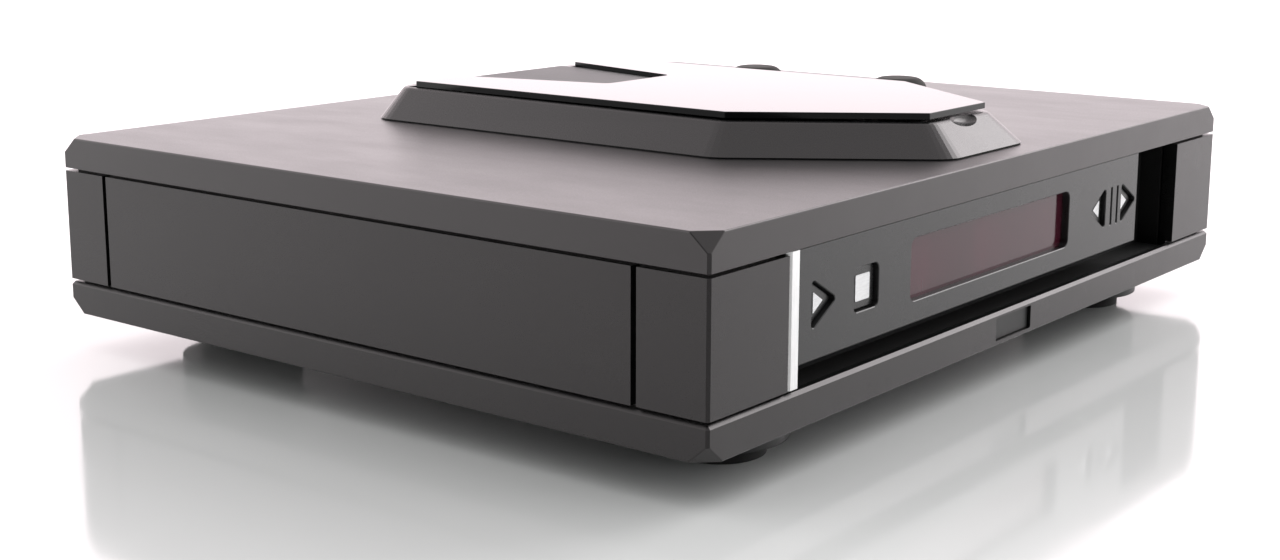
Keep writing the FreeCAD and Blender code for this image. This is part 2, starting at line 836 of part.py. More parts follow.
# ---------------------------------------------------------------- hinge block
block_z1 = lid_z1 - block_below_lid
block_y0 = notch_front_y + notch_gap + 0.4
run = lid_rear_y - notch_front_y
grow = (notch_rear_half - notch_front_half) / run
block_turn_y = notch_front_y + (block_half_max + notch_gap - notch_front_half) / grow
block_front_half = notch_half(block_y0) - notch_gap
block_points = [
    (-block_front_half, block_y0),
    (block_front_half, block_y0),
    (block_half_max, block_turn_y),
    (block_half_max, block_rear_y),
    (-block_half_max, block_rear_y),
    (-block_half_max, block_turn_y),
]
block = round_near_front(prism(block_points, gutter_z, block_z1), block_y0, notch_r)
block_bed = round_near_front(prism(block_points, gutter_z, lid_z1 + 5), block_y0, notch_r)
plinth = plinth.cut(block_bed)
pin_x = lug_x + lug_w / 2 + 1
block = block.cut(rod(-block_half_max - 1, hinge_y, hinge_z, pin_r, 2 * block_half_max + 2, (1, 0, 0)))
hinge_pin = rod(-pin_x, hinge_y, hinge_z, pin_r, 2 * pin_x, (1, 0, 0))

# ---------------------------------------------------------------- lid
lid = prism(lid_polygon(0, lid_rear_y), lid_z0, lid_z1)
lid = round_upright(lid, Vector(0, 0, 1), 0.8)
rim = []
for edge in lid.Edges:
    b = edge.BoundBox
    if b.ZMin > lid_z1 - 1e-4:
        rim.append(edge)
lid = lid.makeFillet(lid_edge, rim)
notch = prism([
    (-notch_front_half, notch_front_y),
    (notch_front_half, notch_front_y),
    (notch_half(lid_rear_y + 5), lid_rear_y + 5),
    (-notch_half(lid_rear_y + 5), lid_rear_y + 5),
], lid_z0 - 1, lid_z1 + 1)
lid = lid.cut(round_near_front(notch, notch_front_y, notch_r))

lug_parts = []
for sx in (-1, 1):
    x0 = sx * lug_x - lug_w / 2
    pad_z0 = lid_z0 - 1.0
    lug_parts.append(fuse([
        rod(x0, hinge_y, hinge_z, lug_r, lug_w, (1, 0, 0)),
        box(x0, x0 + lug_w, hinge_y - lug_r, hinge_y + lug_r, hinge_z, lid_z0),
        box(x0, x0 + lug_w, hinge_y - lug_r - lug_pad, hinge_y, pad_z0, lid_z0),
    ]).cut(rod(x0 - 1, hinge_y, hinge_z, pin_r + pin_fit, lug_w + 2, (1, 0, 0))))
lid_lugs = Part.makeCompound(lug_parts)

carrier_z0 = lid_z0 - carrier_t
lip_z1 = carrier_z0 + carrier_lip_t
carrier = rod(0, bay_y, carrier_z0, carrier_r, carrier_t, (0, 0, 1))
carrier = carrier.cut(rod(0, bay_y, carrier_z0 - 1, clamp_neck_r + 1.0, carrier_t + 2, (0, 0, 1)))
carrier = carrier.cut(rod(0, bay_y, lip_z1, clamp_top_r + 1.0, carrier_t, (0, 0, 1)))

clamp_low_t = 1.7
clamp_z0 = carrier_z0 - clamp_slack - clamp_low_t
clamp_top_z0 = lip_z1 + clamp_slack
clamp = fuse([
    rod(0, bay_y, clamp_z0, clamp_flange_r, clamp_low_t, (0, 0, 1)),
    rod(0, bay_y, clamp_z0, clamp_neck_r, clamp_top_z0 - clamp_z0 + 0.5, (0, 0, 1)),
    rod(0, bay_y, clamp_top_z0, clamp_top_r, 1.2, (0, 0, 1)),
])
recess_up = 1.4
clamp = clamp.cut(rod(0, bay_y, clamp_z0 - 1, cone_r + 1.0, recess_up + 1, (0, 0, 1)))
magnet_z0 = clamp_z0 + recess_up
clamp = clamp.cut(rod(0, bay_y, magnet_z0 - 1, magnet_r, magnet_t + 1, (0, 0, 1)))
magnet = rod(0, bay_y, magnet_z0, magnet_r, magnet_t, (0, 0, 1))

# ---------------------------------------------------------------- disc bay
bay_floor_z0 = top_z1 + bay_floor_up
bay_floor_z1 = bay_floor_z0 + bay_floor_t
bay_rim_z = top_level(bay_y - bay_r) - bay_rim_below
bay = rod(0, bay_y, bay_floor_z0, bay_r + bay_wall, bay_rim_z - bay_floor_z0, (0, 0, 1))
bay = bay.cut(rod(0, bay_y, bay_floor_z1, bay_r, 30, (0, 0, 1)))
bay = bay.cut(rod(0, bay_y, bay_floor_z0 - 1, spindle_hole_r, bay_floor_t + 2, (0, 0, 1)))
lens_y = sled_front_y + lens_from_front
bay = bay.cut(box(
    -laser_slot_w / 2, laser_slot_w / 2, bay_y, lens_y + sled_travel + turret_r + slot_end_gap,
    bay_floor_z0 - 1, bay_floor_z1 + 1))
isolator_z0 = case_z0 + rod_z - 9.5 + chassis_t
isolator_points = []
for sx in (-1, 1):
    for y in (chassis_front_y + 7, chassis_rear_y - 7 - 20):
        isolator_points.append((sx * (chassis_half - 7), y))
posts = []
for x, y in isolator_points:
    posts.append(rod(x, y, isolator_z0 + 6, 3.0, bay_floor_z0 + 0.5 - isolator_z0 - 6, (0, 0, 1)))
bay = fuse([bay] + posts)

# ---------------------------------------------------------------- mechanism
chassis_z0 = isolator_z0 - chassis_t
chassis = box(
    -chassis_half, chassis_half, chassis_front_y, chassis_rear_y, chassis_z0, isolator_z0)
chassis = chassis.cut(box(
    -14, 14, sled_front_y + 4, chassis_rear_y - 8, chassis_z0 - 1, isolator_z0 + 1))
rz = case_z0 + rod_z
rod_rear_y = sled_front_y + sled_d + sled_travel + rod_over
rod_len = rod_rear_y - rod_front_y
for y0 in (rod_front_y - 3, rod_rear_y - 1):
    for sx in (-1, 1):
        chassis = chassis.fuse(box(
            sx * rod_x - 4, sx * rod_x + 4, y0, y0 + 4, isolator_z0 - 0.5, rz + 3))
bear_y0 = rod_rear_y - 1
screw_z = rz - screw_drop
chassis = chassis.fuse(box(
    screw_x - 5, screw_x + 5, bear_y0, bear_y0 + 4, isolator_z0 - 0.5, rz + 3))
for sx in (-1, 1):
    chassis = chassis.cut(rod(sx * rod_x, rod_front_y, rz, rod_r, rod_len, (0, 1, 0)))
chassis = chassis.cut(rod(
    screw_x, rod_front_y, screw_z, screw_r + running_fit, rod_len, (0, 1, 0)))
guide_rods = Part.makeCompound([
    rod(-rod_x, rod_front_y, rz, rod_r, rod_len, (0, 1, 0)),
    rod(rod_x, rod_front_y, rz, rod_r, rod_len, (0, 1, 0)),
])
isolators = Part.makeCompound([
    rod(x, y, isolator_z0, isolator_r, 6, (0, 0, 1)) for x, y in isolator_points])

hub_z1 = bay_floor_z1 + 2.5
hub_z0 = hub_z1 - hub_t
motor_z1 = isolator_z0 + motor_h
motor = rod(0, bay_y, isolator_z0, motor_r, motor_h, (0, 0, 1))
motor = motor.cut(rod(0, bay_y, isolator_z0 - 1, shaft_r + shaft_fit, motor_h + 2, (0, 0, 1)))
spindle = fuse([
    rod(0, bay_y, isolator_z0 + 0.5, shaft_r, hub_z0 - isolator_z0, (0, 0, 1)),
    rod(0, bay_y, hub_z0, hub_r, hub_t, (0, 0, 1)),
    Part.makeCone(cone_r, cone_r - 1.0, cone_h, Vector(0, bay_y, hub_z1), Vector(0, 0, 1)),
])

sled_z0 = rz - 4
sled = box(-rod_x - 4, rod_x + 4, sled_front_y, sled_front_y + sled_d, sled_z0, sled_z0 + sled_h)
sled = sled.fuse(box(
    rod_x + 3, screw_x + 4, sled_front_y + 5, sled_front_y + sled_d - 5,
    screw_z - 3.5, screw_z + 3.5))
for sx in (-1, 1):
    sled = sled.cut(rod(
        sx * rod_x, sled_front_y - 1, rz, rod_r + running_fit, sled_d + 2, (0, 1, 0)))
sled = sled.cut(rod(
    screw_x, sled_front_y - 1, screw_z, screw_r + running_fit, sled_d + 2, (0, 1, 0)))
turret_z1 = bay_floor_z1 + 0.8
sled = sled.fuse(rod(0, lens_y, sled_z0 + sled_h - 0.5, turret_r, turret_z1 - sled_z0 - sled_h + 0.5, (0, 0, 1)))
sled = sled.cut(rod(0, lens_y, turret_z1 - 1.5, lens_r, 2, (0, 0, 1))).removeSplitter()
lens = rod(0, lens_y, turret_z1 - 1.5, lens_r, 1.2, (0, 0, 1))
lens = lens.fuse(Part.makeCone(lens_r, lens_r - 1.2, 0.9, Vector(0, lens_y, turret_z1 - 0.3), Vector(0, 0, 1)))
lens = lens.removeSplitter()

screw_motor_len = 15.0
screw = rod(screw_x, rod_front_y - 0.8, screw_z, screw_r, rod_len, (0, 1, 0))
screw_motor = rod(
    screw_x, rod_front_y - 1.2 - screw_motor_len, screw_z, 6.0, screw_motor_len, (0, 1, 0))
motor_seat = box(
    screw_x - 6, screw_x + 6, rod_front_y - 1.2 - screw_motor_len, rod_front_y - 1.2,
    isolator_z0 - 0.5, screw_z - 2)
chassis = chassis.fuse(motor_seat).cut(screw_motor).removeSplitter()

# ---------------------------------------------------------------- inside
main_z0 = floor_z + board_up
main_x0 = board_left
main_x1 = hw - board_side
main_y0 = -hd + board_front
main_y1 = hd - board_rear
main_z1 = main_z0 + board_t
main_board = box(main_x0, main_x1, main_y0, main_y1, main_z0, main_z1)
standoffs = []
for x in (main_x0 + standoff_in, (main_x0 + main_x1) / 2, main_x1 - standoff_in):
    for y in (main_y0 + standoff_in, main_y1 - standoff_in):
        standoffs.append(rod(x, y, floor_z, standoff_r, board_up, (0, 0, 1)))
bottom = fuse([bottom] + standoffs)
transformer_x = -hw + transformer_side
transformer_y = hd - transformer_rear
ring_z0 = floor_z + 1
ring_z1 = ring_z0 + transformer_h
ring = rod(transformer_x, transformer_y, ring_z0, transformer_r, transformer_h, (0, 0, 1))
ring = ring.cut(rod(
    transformer_x, transformer_y, floor_z, transformer_bore_r, transformer_h + 6, (0, 0, 1)))
ring_edges = [e for e in ring.Edges if e.Curve.TypeId == "Part::GeomCircle"]
transformer = ring.makeFillet(transformer_round, ring_edges)
clamp_plate = fuse([
    rod(transformer_x, transformer_y, ring_z1, clamp_plate_r, clamp_plate_t, (0, 0, 1)),
    rod(transformer_x, transformer_y, floor_z, clamp_bolt_r,
        ring_z1 + clamp_plate_t + clamp_nut_h + 1 - floor_z, (0, 0, 1)),
    rod(transformer_x, transformer_y, ring_z1 + clamp_plate_t, clamp_nut_r, clamp_nut_h, (0, 0, 1)),
])
capacitor_list = []
for i in range(capacitor_count):
    capacitor_list.append(rod(
        main_x0 + capacitor_in + capacitor_pitch * i, main_y1 - capacitor_rear,
        main_z1, capacitor_r, capacitor_h, (0, 0, 1)))
capacitors = Part.makeCompound(capacitor_list)
sink_x1 = main_x1 - sink_in
sink_x0 = sink_x1 - sink_w
sink_y1 = main_y1 - sink_rear
sink_y0 = sink_y1 - sink_depth
fins = [box(sink_x0, sink_x1, sink_y0, sink_y0 + sink_plate_t, main_z1, main_z1 + sink_h)]
for i in range(fin_count):
    x = sink_x0 + 1 + i * (sink_w - 4) / (fin_count - 1)
    fins.append(box(x, x + fin_t, sink_y0 + sink_plate_t - 1, sink_y1, main_z1, main_z1 + sink_h))
heatsink = fuse(fins)
chips = Part.makeCompound([
    box(main_x0 + 50, main_x0 + 50 + chip_big, main_y0 + 50, main_y0 + 50 + chip_big,
        main_z1, main_z1 + chip_big_h),
    box(main_x0 + 100, main_x0 + 100 + chip_long, main_y0 + 40, main_y0 + 40 + chip_wide,
        main_z1, main_z1 + chip_small_h),
    box(main_x0 + 140, main_x0 + 140 + chip_long, main_y0 + 80, main_y0 + 80 + chip_wide,
        main_z1, main_z1 + chip_small_h),
])
# ---------------------------------------------------------------- rear
rear_y1 = hd - rear_inset
rear_y0 = rear_y1 - rear_panel_t
rear_panel = box(-bulkhead_half, bulkhead_half, rear_y0, rear_y1, floor_z, roof_z)
phono_cz = case_z0 + phono_z
shells = []
inserts = []
for x in phono_x + (coax_x,):
    rear_panel = rear_panel.cut(rod(x, rear_y0 - 1, phono_cz, phono_r, 4, (0, 1, 0)))
    shell_len = phono_behind + rear_panel_t + phono_len
    shell = rod(x, rear_y0 - phono_behind, phono_cz, phono_r, shell_len, (0, 1, 0))
    nut = rod(x, rear_y1, phono_cz, phono_nut_r, phono_nut_h, (0, 1, 0))
    shell = shell.fuse(nut).removeSplitter()
    core_r = phono_r - phono_wall
    shell = shell.cut(rod(x, rear_y0 - phono_behind - 1, phono_cz, core_r, shell_len + 2, (0, 1, 0)))
    shells.append(shell)
    insert = rod(x, rear_y0 - phono_behind, phono_cz, core_r, shell_len - 0.5, (0, 1, 0))
    insert = insert.cut(rod(x, rear_y0, phono_cz, phono_pin_r, shell_len, (0, 1, 0)))
    inserts.append(insert)
phono_sockets = Part.makeCompound(shells)
phono_inserts = Part.makeCompound(inserts)

optical_cz = case_z0 + phono_z
ow = optical_w / 2
rear_panel = rear_panel.cut(box(
    optical_x - ow, optical_x + ow, rear_y0 - 1, rear_y1 + 1, optical_cz - ow, optical_cz + ow))
optical = box(
    optical_x - ow, optical_x + ow, rear_y0 - optical_behind, rear_y1 + optical_proud,
    optical_cz - ow, optical_cz + ow)
ow = optical_port / 2
optical = optical.cut(box(
    optical_x - ow, optical_x + ow, rear_y1 - optical_port_d, rear_y1 + optical_proud + 1,
    optical_cz - ow, optical_cz + ow))

inlet_cz = case_z0 + inlet_z
inlet_y0 = rear_y1 - inlet_depth
inlet_block = box(
    inlet_x - inlet_w / 2, inlet_x + inlet_w / 2, inlet_y0, rear_y1 + inlet_proud,
    inlet_cz - inlet_h / 2, inlet_cz + inlet_h / 2)
rear_panel = rear_panel.cut(inlet_block)
inlet = inlet_block.fuse(box(
    inlet_x - inlet_w / 2 - inlet_ear, inlet_x + inlet_w / 2 + inlet_ear,
    rear_y1, rear_y1 + inlet_proud,
    inlet_cz - inlet_h / 2 - inlet_rim, inlet_cz + inlet_h / 2 + inlet_rim))
inlet = inlet.removeSplitter()
inlet = inlet.cut(box(
    inlet_x - inlet_w / 2 + inlet_wall, inlet_x + inlet_w / 2 - inlet_wall,
    inlet_y0 + 3, rear_y1 + 5,
    inlet_cz - inlet_h / 2 + inlet_wall, inlet_cz + inlet_h / 2 - inlet_wall))
pins = []
for dx, dz in ((-pin_side, -pin_drop), (pin_side, -pin_drop), (0, pin_drop)):
    pins.append(box(
        inlet_x + dx - pin_w / 2, inlet_x + dx + pin_w / 2, inlet_y0 + 3, rear_y1 - 2,
        inlet_cz + dz - pin_h / 2, inlet_cz + dz + pin_h / 2))
inlet_pins = Part.makeCompound(pins)

# ---------------------------------------------------------------- feet, screws
foot_parts = []
screw_parts = []
foot_x = hw - foot_side
foot_y = hd - foot_end
for sx in (-1, 1):
    for sy in (-1, 1):
        x = sx * foot_x
        y = sy * foot_y
        collar = rod(x, y, case_z0 - foot_collar_h, foot_collar_r, foot_collar_h, (0, 0, 1))
        pad = rod(x, y, 0, foot_pad_r, foot_h, (0, 0, 1))
        low = []
        for edge in collar.Edges:
            if edge.BoundBox.ZMax < case_z0 - foot_collar_h + 1e-6:
                low.append(edge)
        collar = collar.makeFillet(foot_round, low)
        low = [e for e in pad.Edges if e.BoundBox.ZMax < 1e-6]
        pad = pad.makeFillet(foot_round, low)
        foot = collar.fuse(pad).removeSplitter()
        foot = foot.cut(rod(x, y, -1, foot_bore_r, foot_bore_d + 1, (0, 0, 1)))
        foot_parts.append(foot)
        screw_y = sy * (foot_y - foot_collar_r - screw_away - screw_r)
        screw_parts.append(rod(x, screw_y, case_z0 - screw_h, screw_r, screw_h, (0, 0, 1)))
feet = Part.makeCompound(foot_parts)
case_screws = Part.makeCompound(screw_parts)

puck_x = lid_half_w + plinth_base_out + puck_gap + puck_r
puck_list = []
for y in (puck_front_y, puck_front_y + puck_pitch):
    puck = rod(puck_x, y, top_z1, puck_r, puck_h, (0, 0, 1))
    crown = [e for e in puck.Edges if e.Curve.TypeId == "Part::GeomCircle"]
    crown = [e for e in crown if e.Curve.Center.z > top_z1 + 1]
    puck_list.append(puck.makeFillet(puck_round, crown))
top_pucks = Part.makeCompound(puck_list)

# ---------------------------------------------------------------- files
save(bottom, "bottom_cover")
save(top, "top_cover")
for name, shape in pillars.items():
    save(shape, name)
save(side_panel, "side_panel_left")
save(mirror_x(side_panel), "side_panel_right")
save(strip, "trim_strip")
save(fascia, "fascia")
save(liner, "recess_liner")
save(glass, "display_window")
save(module, "display_module")
save(receiver, "infrared_receiver")
save(front_board, "front_board")
save(button_switches, "button_switches")
for name in ("play", "stop", "previous", "next"):
    save(caps[name], name + "_button")
    save(marks[name], name + "_mark")
save(power_button, "power_button")
save(power_switch, "power_switch")
save(plinth, "plinth")
save(gasket, "plinth_gasket")
save(block, "hinge_block")
save(hinge_pin, "hinge_pin")
save(lid, "lid")
save(lid_lugs, "lid_lugs")
save(carrier, "clamp_carrier")
save(clamp, "disc_clamp")
save(magnet, "clamp_magnet")
save(bay, "disc_bay")
save(chassis, "mechanism_chassis")
save(guide_rods, "guide_rods")
save(isolators, "isolators")
save(motor, "spindle_motor")
save(spindle, "spindle_hub")
save(sled, "laser_sled")
save(lens, "laser_lens")
save(screw, "sled_screw")
save(screw_motor, "sled_motor")
save(main_board, "main_board")
save(transformer, "transformer")
save(clamp_plate, "transformer_clamp")
save(capacitors, "capacitors")
save(heatsink, "heatsink")
save(chips, "chips")
save(rear_panel, "rear_panel")
save(phono_sockets, "phono_sockets")
save(phono_inserts, "phono_inserts")
save(optical, "optical_socket")
save(inlet, "mains_inlet")
save(inlet_pins, "inlet_pins")
save(feet, "feet")
save(case_screws, "case_screws")
save(top_pucks, "top_pucks")
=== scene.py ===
"""Finishes and small fittings of a low, wide compact disc player."""
import math

import bpy
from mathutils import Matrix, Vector


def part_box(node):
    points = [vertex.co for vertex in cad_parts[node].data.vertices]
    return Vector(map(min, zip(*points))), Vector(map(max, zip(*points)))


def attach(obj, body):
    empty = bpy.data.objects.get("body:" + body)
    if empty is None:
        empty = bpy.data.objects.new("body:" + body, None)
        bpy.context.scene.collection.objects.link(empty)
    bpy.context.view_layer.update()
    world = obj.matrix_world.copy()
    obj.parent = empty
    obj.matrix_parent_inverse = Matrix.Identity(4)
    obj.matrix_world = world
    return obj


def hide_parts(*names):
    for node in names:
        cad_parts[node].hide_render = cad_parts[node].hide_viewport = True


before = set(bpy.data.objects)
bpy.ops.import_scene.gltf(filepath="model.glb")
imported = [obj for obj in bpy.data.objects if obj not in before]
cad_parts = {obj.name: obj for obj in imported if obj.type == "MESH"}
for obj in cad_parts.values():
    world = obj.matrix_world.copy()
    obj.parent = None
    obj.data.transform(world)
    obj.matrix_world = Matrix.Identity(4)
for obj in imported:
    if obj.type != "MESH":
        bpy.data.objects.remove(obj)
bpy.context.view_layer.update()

bl_info = {
    "name": "Disc player",
    "version": (1, 0, 0),
    "blender": (4, 5, 0),
    "location": "3D View > Sidebar > Disc player",
    "description": "Builds the finishes and small fittings of a disc player",
    "category": "Object",
}


# ---------------------------------------------------------------- modelling

def let_go():
    """Nothing stays selected, and the scene is in object mode."""
    active = bpy.context.view_layer.objects.active
    if active is not None and active.mode != "OBJECT":
        bpy.ops.object.mode_set(mode="OBJECT")
    bpy.ops.object.select_all(action="DESELECT")


def hold(piece):
    """Only this piece is selected and active."""
    let_go()
    piece.select_set(True)
    bpy.context.view_layer.objects.active = piece


def settle(name):
    """Names the primitive just added and puts its place into its mesh."""
    piece = bpy.context.view_layer.objects.active
    piece.name = name
    piece.data.name = name
    bpy.ops.object.transform_apply(location=True, rotation=True, scale=True)
    return piece


def block(name, low, high):
    """A rectangular start between two corners."""
    let_go()
    low, high = Vector(low), Vector(high)
    bpy.ops.mesh.primitive_cube_add(size=1, location=(low + high) / 2, scale=high - low)
    return settle(name)


TURNS = {"X": (0, math.pi / 2, 0), "Y": (math.pi / 2, 0, 0), "Z": (0, 0, 0)}
AXES = {"X": Vector((1, 0, 0)), "Y": Vector((0, 1, 0)), "Z": Vector((0, 0, 1))}


def bar(name, start, radius, length, axis="Z", sides=48):
    """A round start that runs from a point along an axis."""
    let_go()
    middle = Vector(start) + AXES[axis] * length / 2
    bpy.ops.mesh.primitive_cylinder_add(
        vertices=sides, radius=radius, depth=abs(length), location=middle,
        rotation=TURNS[axis])
    return settle(name)


def pick(piece, test):
    """Enters edit mode with the faces selected whose centre and normal pass the test."""
    hold(piece)
    bpy.ops.object.mode_set(mode="EDIT")
    bpy.ops.mesh.select_mode(type="FACE")
    bpy.ops.mesh.select_all(action="DESELECT")
    bpy.ops.object.mode_set(mode="OBJECT")
    found = 0
    for face in piece.data.polygons:
        face.select = bool(test(face.center, face.normal))
        found += face.select
    if not found:
        raise RuntimeError("no face of " + piece.name + " passes the test")
    bpy.ops.object.mode_set(mode="EDIT")


def carve(piece, test, direction, steps):
    """Insets and pushes the picked faces in turn; each step is (inset, push)."""
    pick(piece, test)
    way = Vector(direction)
    for inward, push in steps:
        if inward:
            bpy.ops.mesh.inset(thickness=inward, depth=0, use_even_offset=True)
        if push:
            bpy.ops.mesh.extrude_region_move(
                TRANSFORM_OT_translate={"value": way * push})
    bpy.ops.object.mode_set(mode="OBJECT")


def facing(direction, level=None, slack=2e-5):
    """Faces that look one way, and lie at one level along it when a level is given."""
    way = Vector(direction)

    def test(centre, normal):
        if normal.dot(way) < 0.9:
            return False
        return level is None or abs(centre.dot(way) - level) < slack
    return test


def soften(piece, width, segments=2, angle=35):
    """Rounds the sharp edges."""
    hold(piece)
    rounder = piece.modifiers.new("Rounding", "BEVEL")
    rounder.width = width
    rounder.segments = segments
    rounder.limit_method = "ANGLE"
    rounder.angle_limit = math.radians(angle)
    rounder.harden_normals = False
    bpy.ops.object.modifier_apply(modifier=rounder.name)


def cut_with(piece, cutters):
    """Takes the cutters' shapes out of a piece."""
    for cutter in cutters:
        hold(piece)
        saw = piece.modifiers.new("Cut", "BOOLEAN")
        saw.operation = "DIFFERENCE"
        saw.solver = "EXACT"
        saw.object = cutter
        bpy.ops.object.modifier_apply(modifier=saw.name)
    let_go()
    for cutter in cutters:
        bpy.data.objects.remove(cutter, do_unlink=True)


def join(name, pieces):
    """Makes one piece of several."""
    let_go()
    for piece in pieces:
        piece.select_set(True)
    bpy.context.view_layer.objects.active = pieces[0]
    if len(pieces) > 1:
        bpy.ops.object.join()
    whole = bpy.context.view_layer.objects.active
    whole.name = name
    whole.data.name = name
    return whole


def copy_to(piece, name, shift):
    """A copy with its own mesh, moved by a distance that goes into the mesh."""
    hold(piece)
    bpy.ops.object.duplicate(linked=False)
    twin = bpy.context.view_layer.objects.active
    twin.name = name
    twin.data.name = name
    twin.location = Vector(shift)
    bpy.ops.object.transform_apply(location=True, rotation=True, scale=True)
    return twin


def coat(piece, finish):
    """Leaves one finish on a piece."""
    piece.data.materials.clear()
    piece.data.materials.append(finish)


def done(piece, finish, body, stands_for=(), smooth=32):
    """Gives a piece its finish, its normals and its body."""
    hold(piece)
    bpy.ops.object.mode_set(mode="EDIT")
    bpy.ops.mesh.select_all(action="SELECT")
    bpy.ops.mesh.remove_doubles(threshold=1e-6)
    bpy.ops.mesh.normals_make_consistent(inside=False)
    bpy.ops.object.mode_set(mode="OBJECT")
    bpy.ops.object.shade_smooth_by_angle(angle=math.radians(smooth))
    coat(piece, finish)
    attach(piece, body)
    if stands_for:
        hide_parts(*stands_for)
    return piece


# ----------------------------------------------------------------- finishes

class Recipe:
    """Builds one procedural finish on object coordinates."""

    def __init__(self, name):
        old = bpy.data.materials.get(name)
        if old is not None:
            bpy.data.materials.remove(old)
        self.finish = bpy.data.materials.new(name)
        self.finish.use_nodes = True
        self.tree = self.finish.node_tree
        self.nodes = self.tree.nodes
        self.shader = self.nodes["Principled BSDF"]
        self.place = self.nodes.new("ShaderNodeTexCoord").outputs["Object"]

    def wire(self, a, b):
        """Joins an output to an input."""
        self.tree.links.new(a, b)

    def set(self, **values):
        """Sets plain values of the shader, with spaces written as underscores."""
        for key, value in values.items():
            self.shader.inputs[key.replace("_", " ")].default_value = value
        return self

    def stretched(self, scale, centre=(0, 0, 0)):
        """The object's coordinates, scaled and shifted."""
        node = self.nodes.new("ShaderNodeMapping")
        node.inputs["Scale"].default_value = scale
        node.inputs["Location"].default_value = centre
        self.wire(self.place, node.inputs["Vector"])
        return node.outputs["Vector"]

    def from_axis(self, centre):
        """X and Y measured from an upright axis."""
        split = self.nodes.new("ShaderNodeSeparateXYZ")
        self.wire(self.stretched((1, 1, 1), (-centre[0], -centre[1], 0)), split.inputs["Vector"])
        return split.outputs["X"], split.outputs["Y"]

    def cloud(self, size, detail=3.0, rough=0.55, stretch=(1, 1, 1)):
        """Noise whose blobs are about one size across, in metres."""
        node = self.nodes.new("ShaderNodeTexNoise")
        node.inputs["Scale"].default_value = 1.0
        node.inputs["Detail"].default_value = detail
        node.inputs["Roughness"].default_value = rough
        factor = Vector(stretch) / size
        self.wire(self.stretched(factor), node.inputs["Vector"])
        return node.outputs["Fac"]

    def cells(self, size):
        """Distance to the nearest of scattered points about one size apart."""
        node = self.nodes.new("ShaderNodeTexVoronoi")
        node.inputs["Scale"].default_value = 1.0
        self.wire(self.stretched(Vector((1, 1, 1)) / size), node.inputs["Vector"])
        return node.outputs["Distance"]

    def ramp(self, source, low, high, start=0.3, end=0.7):
        """Maps part of a pattern's range onto a range of values."""
        node = self.nodes.new("ShaderNodeMapRange")
        node.inputs["From Min"].default_value = start
        node.inputs["From Max"].default_value = end
        node.inputs["To Min"].default_value = low
        node.inputs["To Max"].default_value = high
        self.wire(source, node.inputs["Value"])
        return node.outputs["Result"]

    def maths(self, operation, a, b=None):
        """One sum on patterns or plain values."""
        node = self.nodes.new("ShaderNodeMath")
        node.operation = operation
        for socket, value in zip(node.inputs, (a, b)):
            if value is None:
                continue
            if isinstance(value, (int, float)):
                socket.default_value = value
            else:
                self.wire(value, socket)
        return node.outputs["Value"]

    def shades(self, source, dark, light, start=0.3, end=0.7):
        """Colours a pattern between two tones."""
        node = self.nodes.new("ShaderNodeValToRGB")
        node.color_ramp.elements[0].position = start
        node.color_ramp.elements[0].color = (*dark, 1)
        node.color_ramp.elements[1].position = end
        node.color_ramp.elements[1].color = (*light, 1)
        self.wire(source, node.inputs["Fac"])
        return node.outputs["Color"]

    def colour(self, output):
        """Drives the base colour with a pattern."""
        self.wire(output, self.shader.inputs["Base Color"])
        return self

    def roughness(self, output):
        """Drives the roughness with a pattern."""
        self.wire(output, self.shader.inputs["Roughness"])
        return self

    def relief(self, height, depth):
        """Bumps the surface; depth is in metres. Calls add up."""
        node = self.nodes.new("ShaderNodeBump")
        node.inputs["Strength"].default_value = 1.0
        node.inputs["Distance"].default_value = depth
        self.wire(height, node.inputs["Height"])
        socket = self.shader.inputs["Normal"]
        if socket.is_linked:
            self.wire(socket.links[0].from_socket, node.inputs["Normal"])
        self.wire(node.outputs["Normal"], socket)
        return self


def tinted(colour, factor):
    """A colour made lighter or darker, kept between black and white."""
    return tuple(min(1.0, max(0.0, c * factor)) for c in colour)


def satin_paint(name, colour, rough, tint=(1, 1, 1), grain=0.00035, depth=4e-6, sheen=0.5):
    """Bead-blasted and anodised metal: a fine even grain, faint wiping marks."""
    r = Recipe(name)
    r.set(Specular_IOR_Level=sheen, Specular_Tint=(*tint, 1))
    wide = r.cloud(0.11, 2.0)
    r.colour(r.shades(wide, tinted(colour, 0.9), tinted(colour, 1.1)))
    fine = r.cloud(grain, 2.0, 0.6)
    wipe = r.cloud(0.02, 3.0, 0.6, (1, 0.35, 1))
    even = r.ramp(fine, -0.035, 0.035)
    r.roughness(r.maths("ADD", even, r.ramp(wipe, rough - 0.02, rough + 0.02)))
    r.relief(fine, depth)
    return r.finish


def gloss_lacquer(name, colour, rough, coat=0.6, sheen=0.5):
    """Polished surface with a little dust and faint haze."""
    r = Recipe(name)
    r.set(Coat_Weight=coat, Coat_Roughness=0.03, Specular_IOR_Level=sheen)
    wide = r.cloud(0.05, 2.0)
    r.colour(r.shades(wide, tinted(colour, 0.9), tinted(colour, 1.1)))
    dust = r.cells(0.004)
    haze = r.ramp(wide, rough, rough * 1.6)
    speck = r.ramp(dust, 0.1, 0.0, 0.02, 0.09)
    r.roughness(r.maths("ADD", haze, speck))
    r.relief(r.cloud(0.008, 1.0), 4e-6)
    return r.finish


def brushed_metal(name, colour, rough, along=(1, 1, 1), depth=3e-6, metal=1.0):
    """Metal with fine lines; the pattern is long where along is small."""
    r = Recipe(name)
    r.set(Metallic=metal)
    lines = r.cloud(0.0005, 3.0, 0.7, along)
    patch = r.cloud(0.03, 2.0)
    r.colour(r.shades(lines, tinted(colour, 0.88), tinted(colour, 1.06)))
    r.roughness(r.maths(
        "ADD", r.ramp(lines, -0.05, 0.06), r.ramp(patch, rough - 0.03, rough + 0.03)))
    r.relief(lines, depth)
    return r.finish


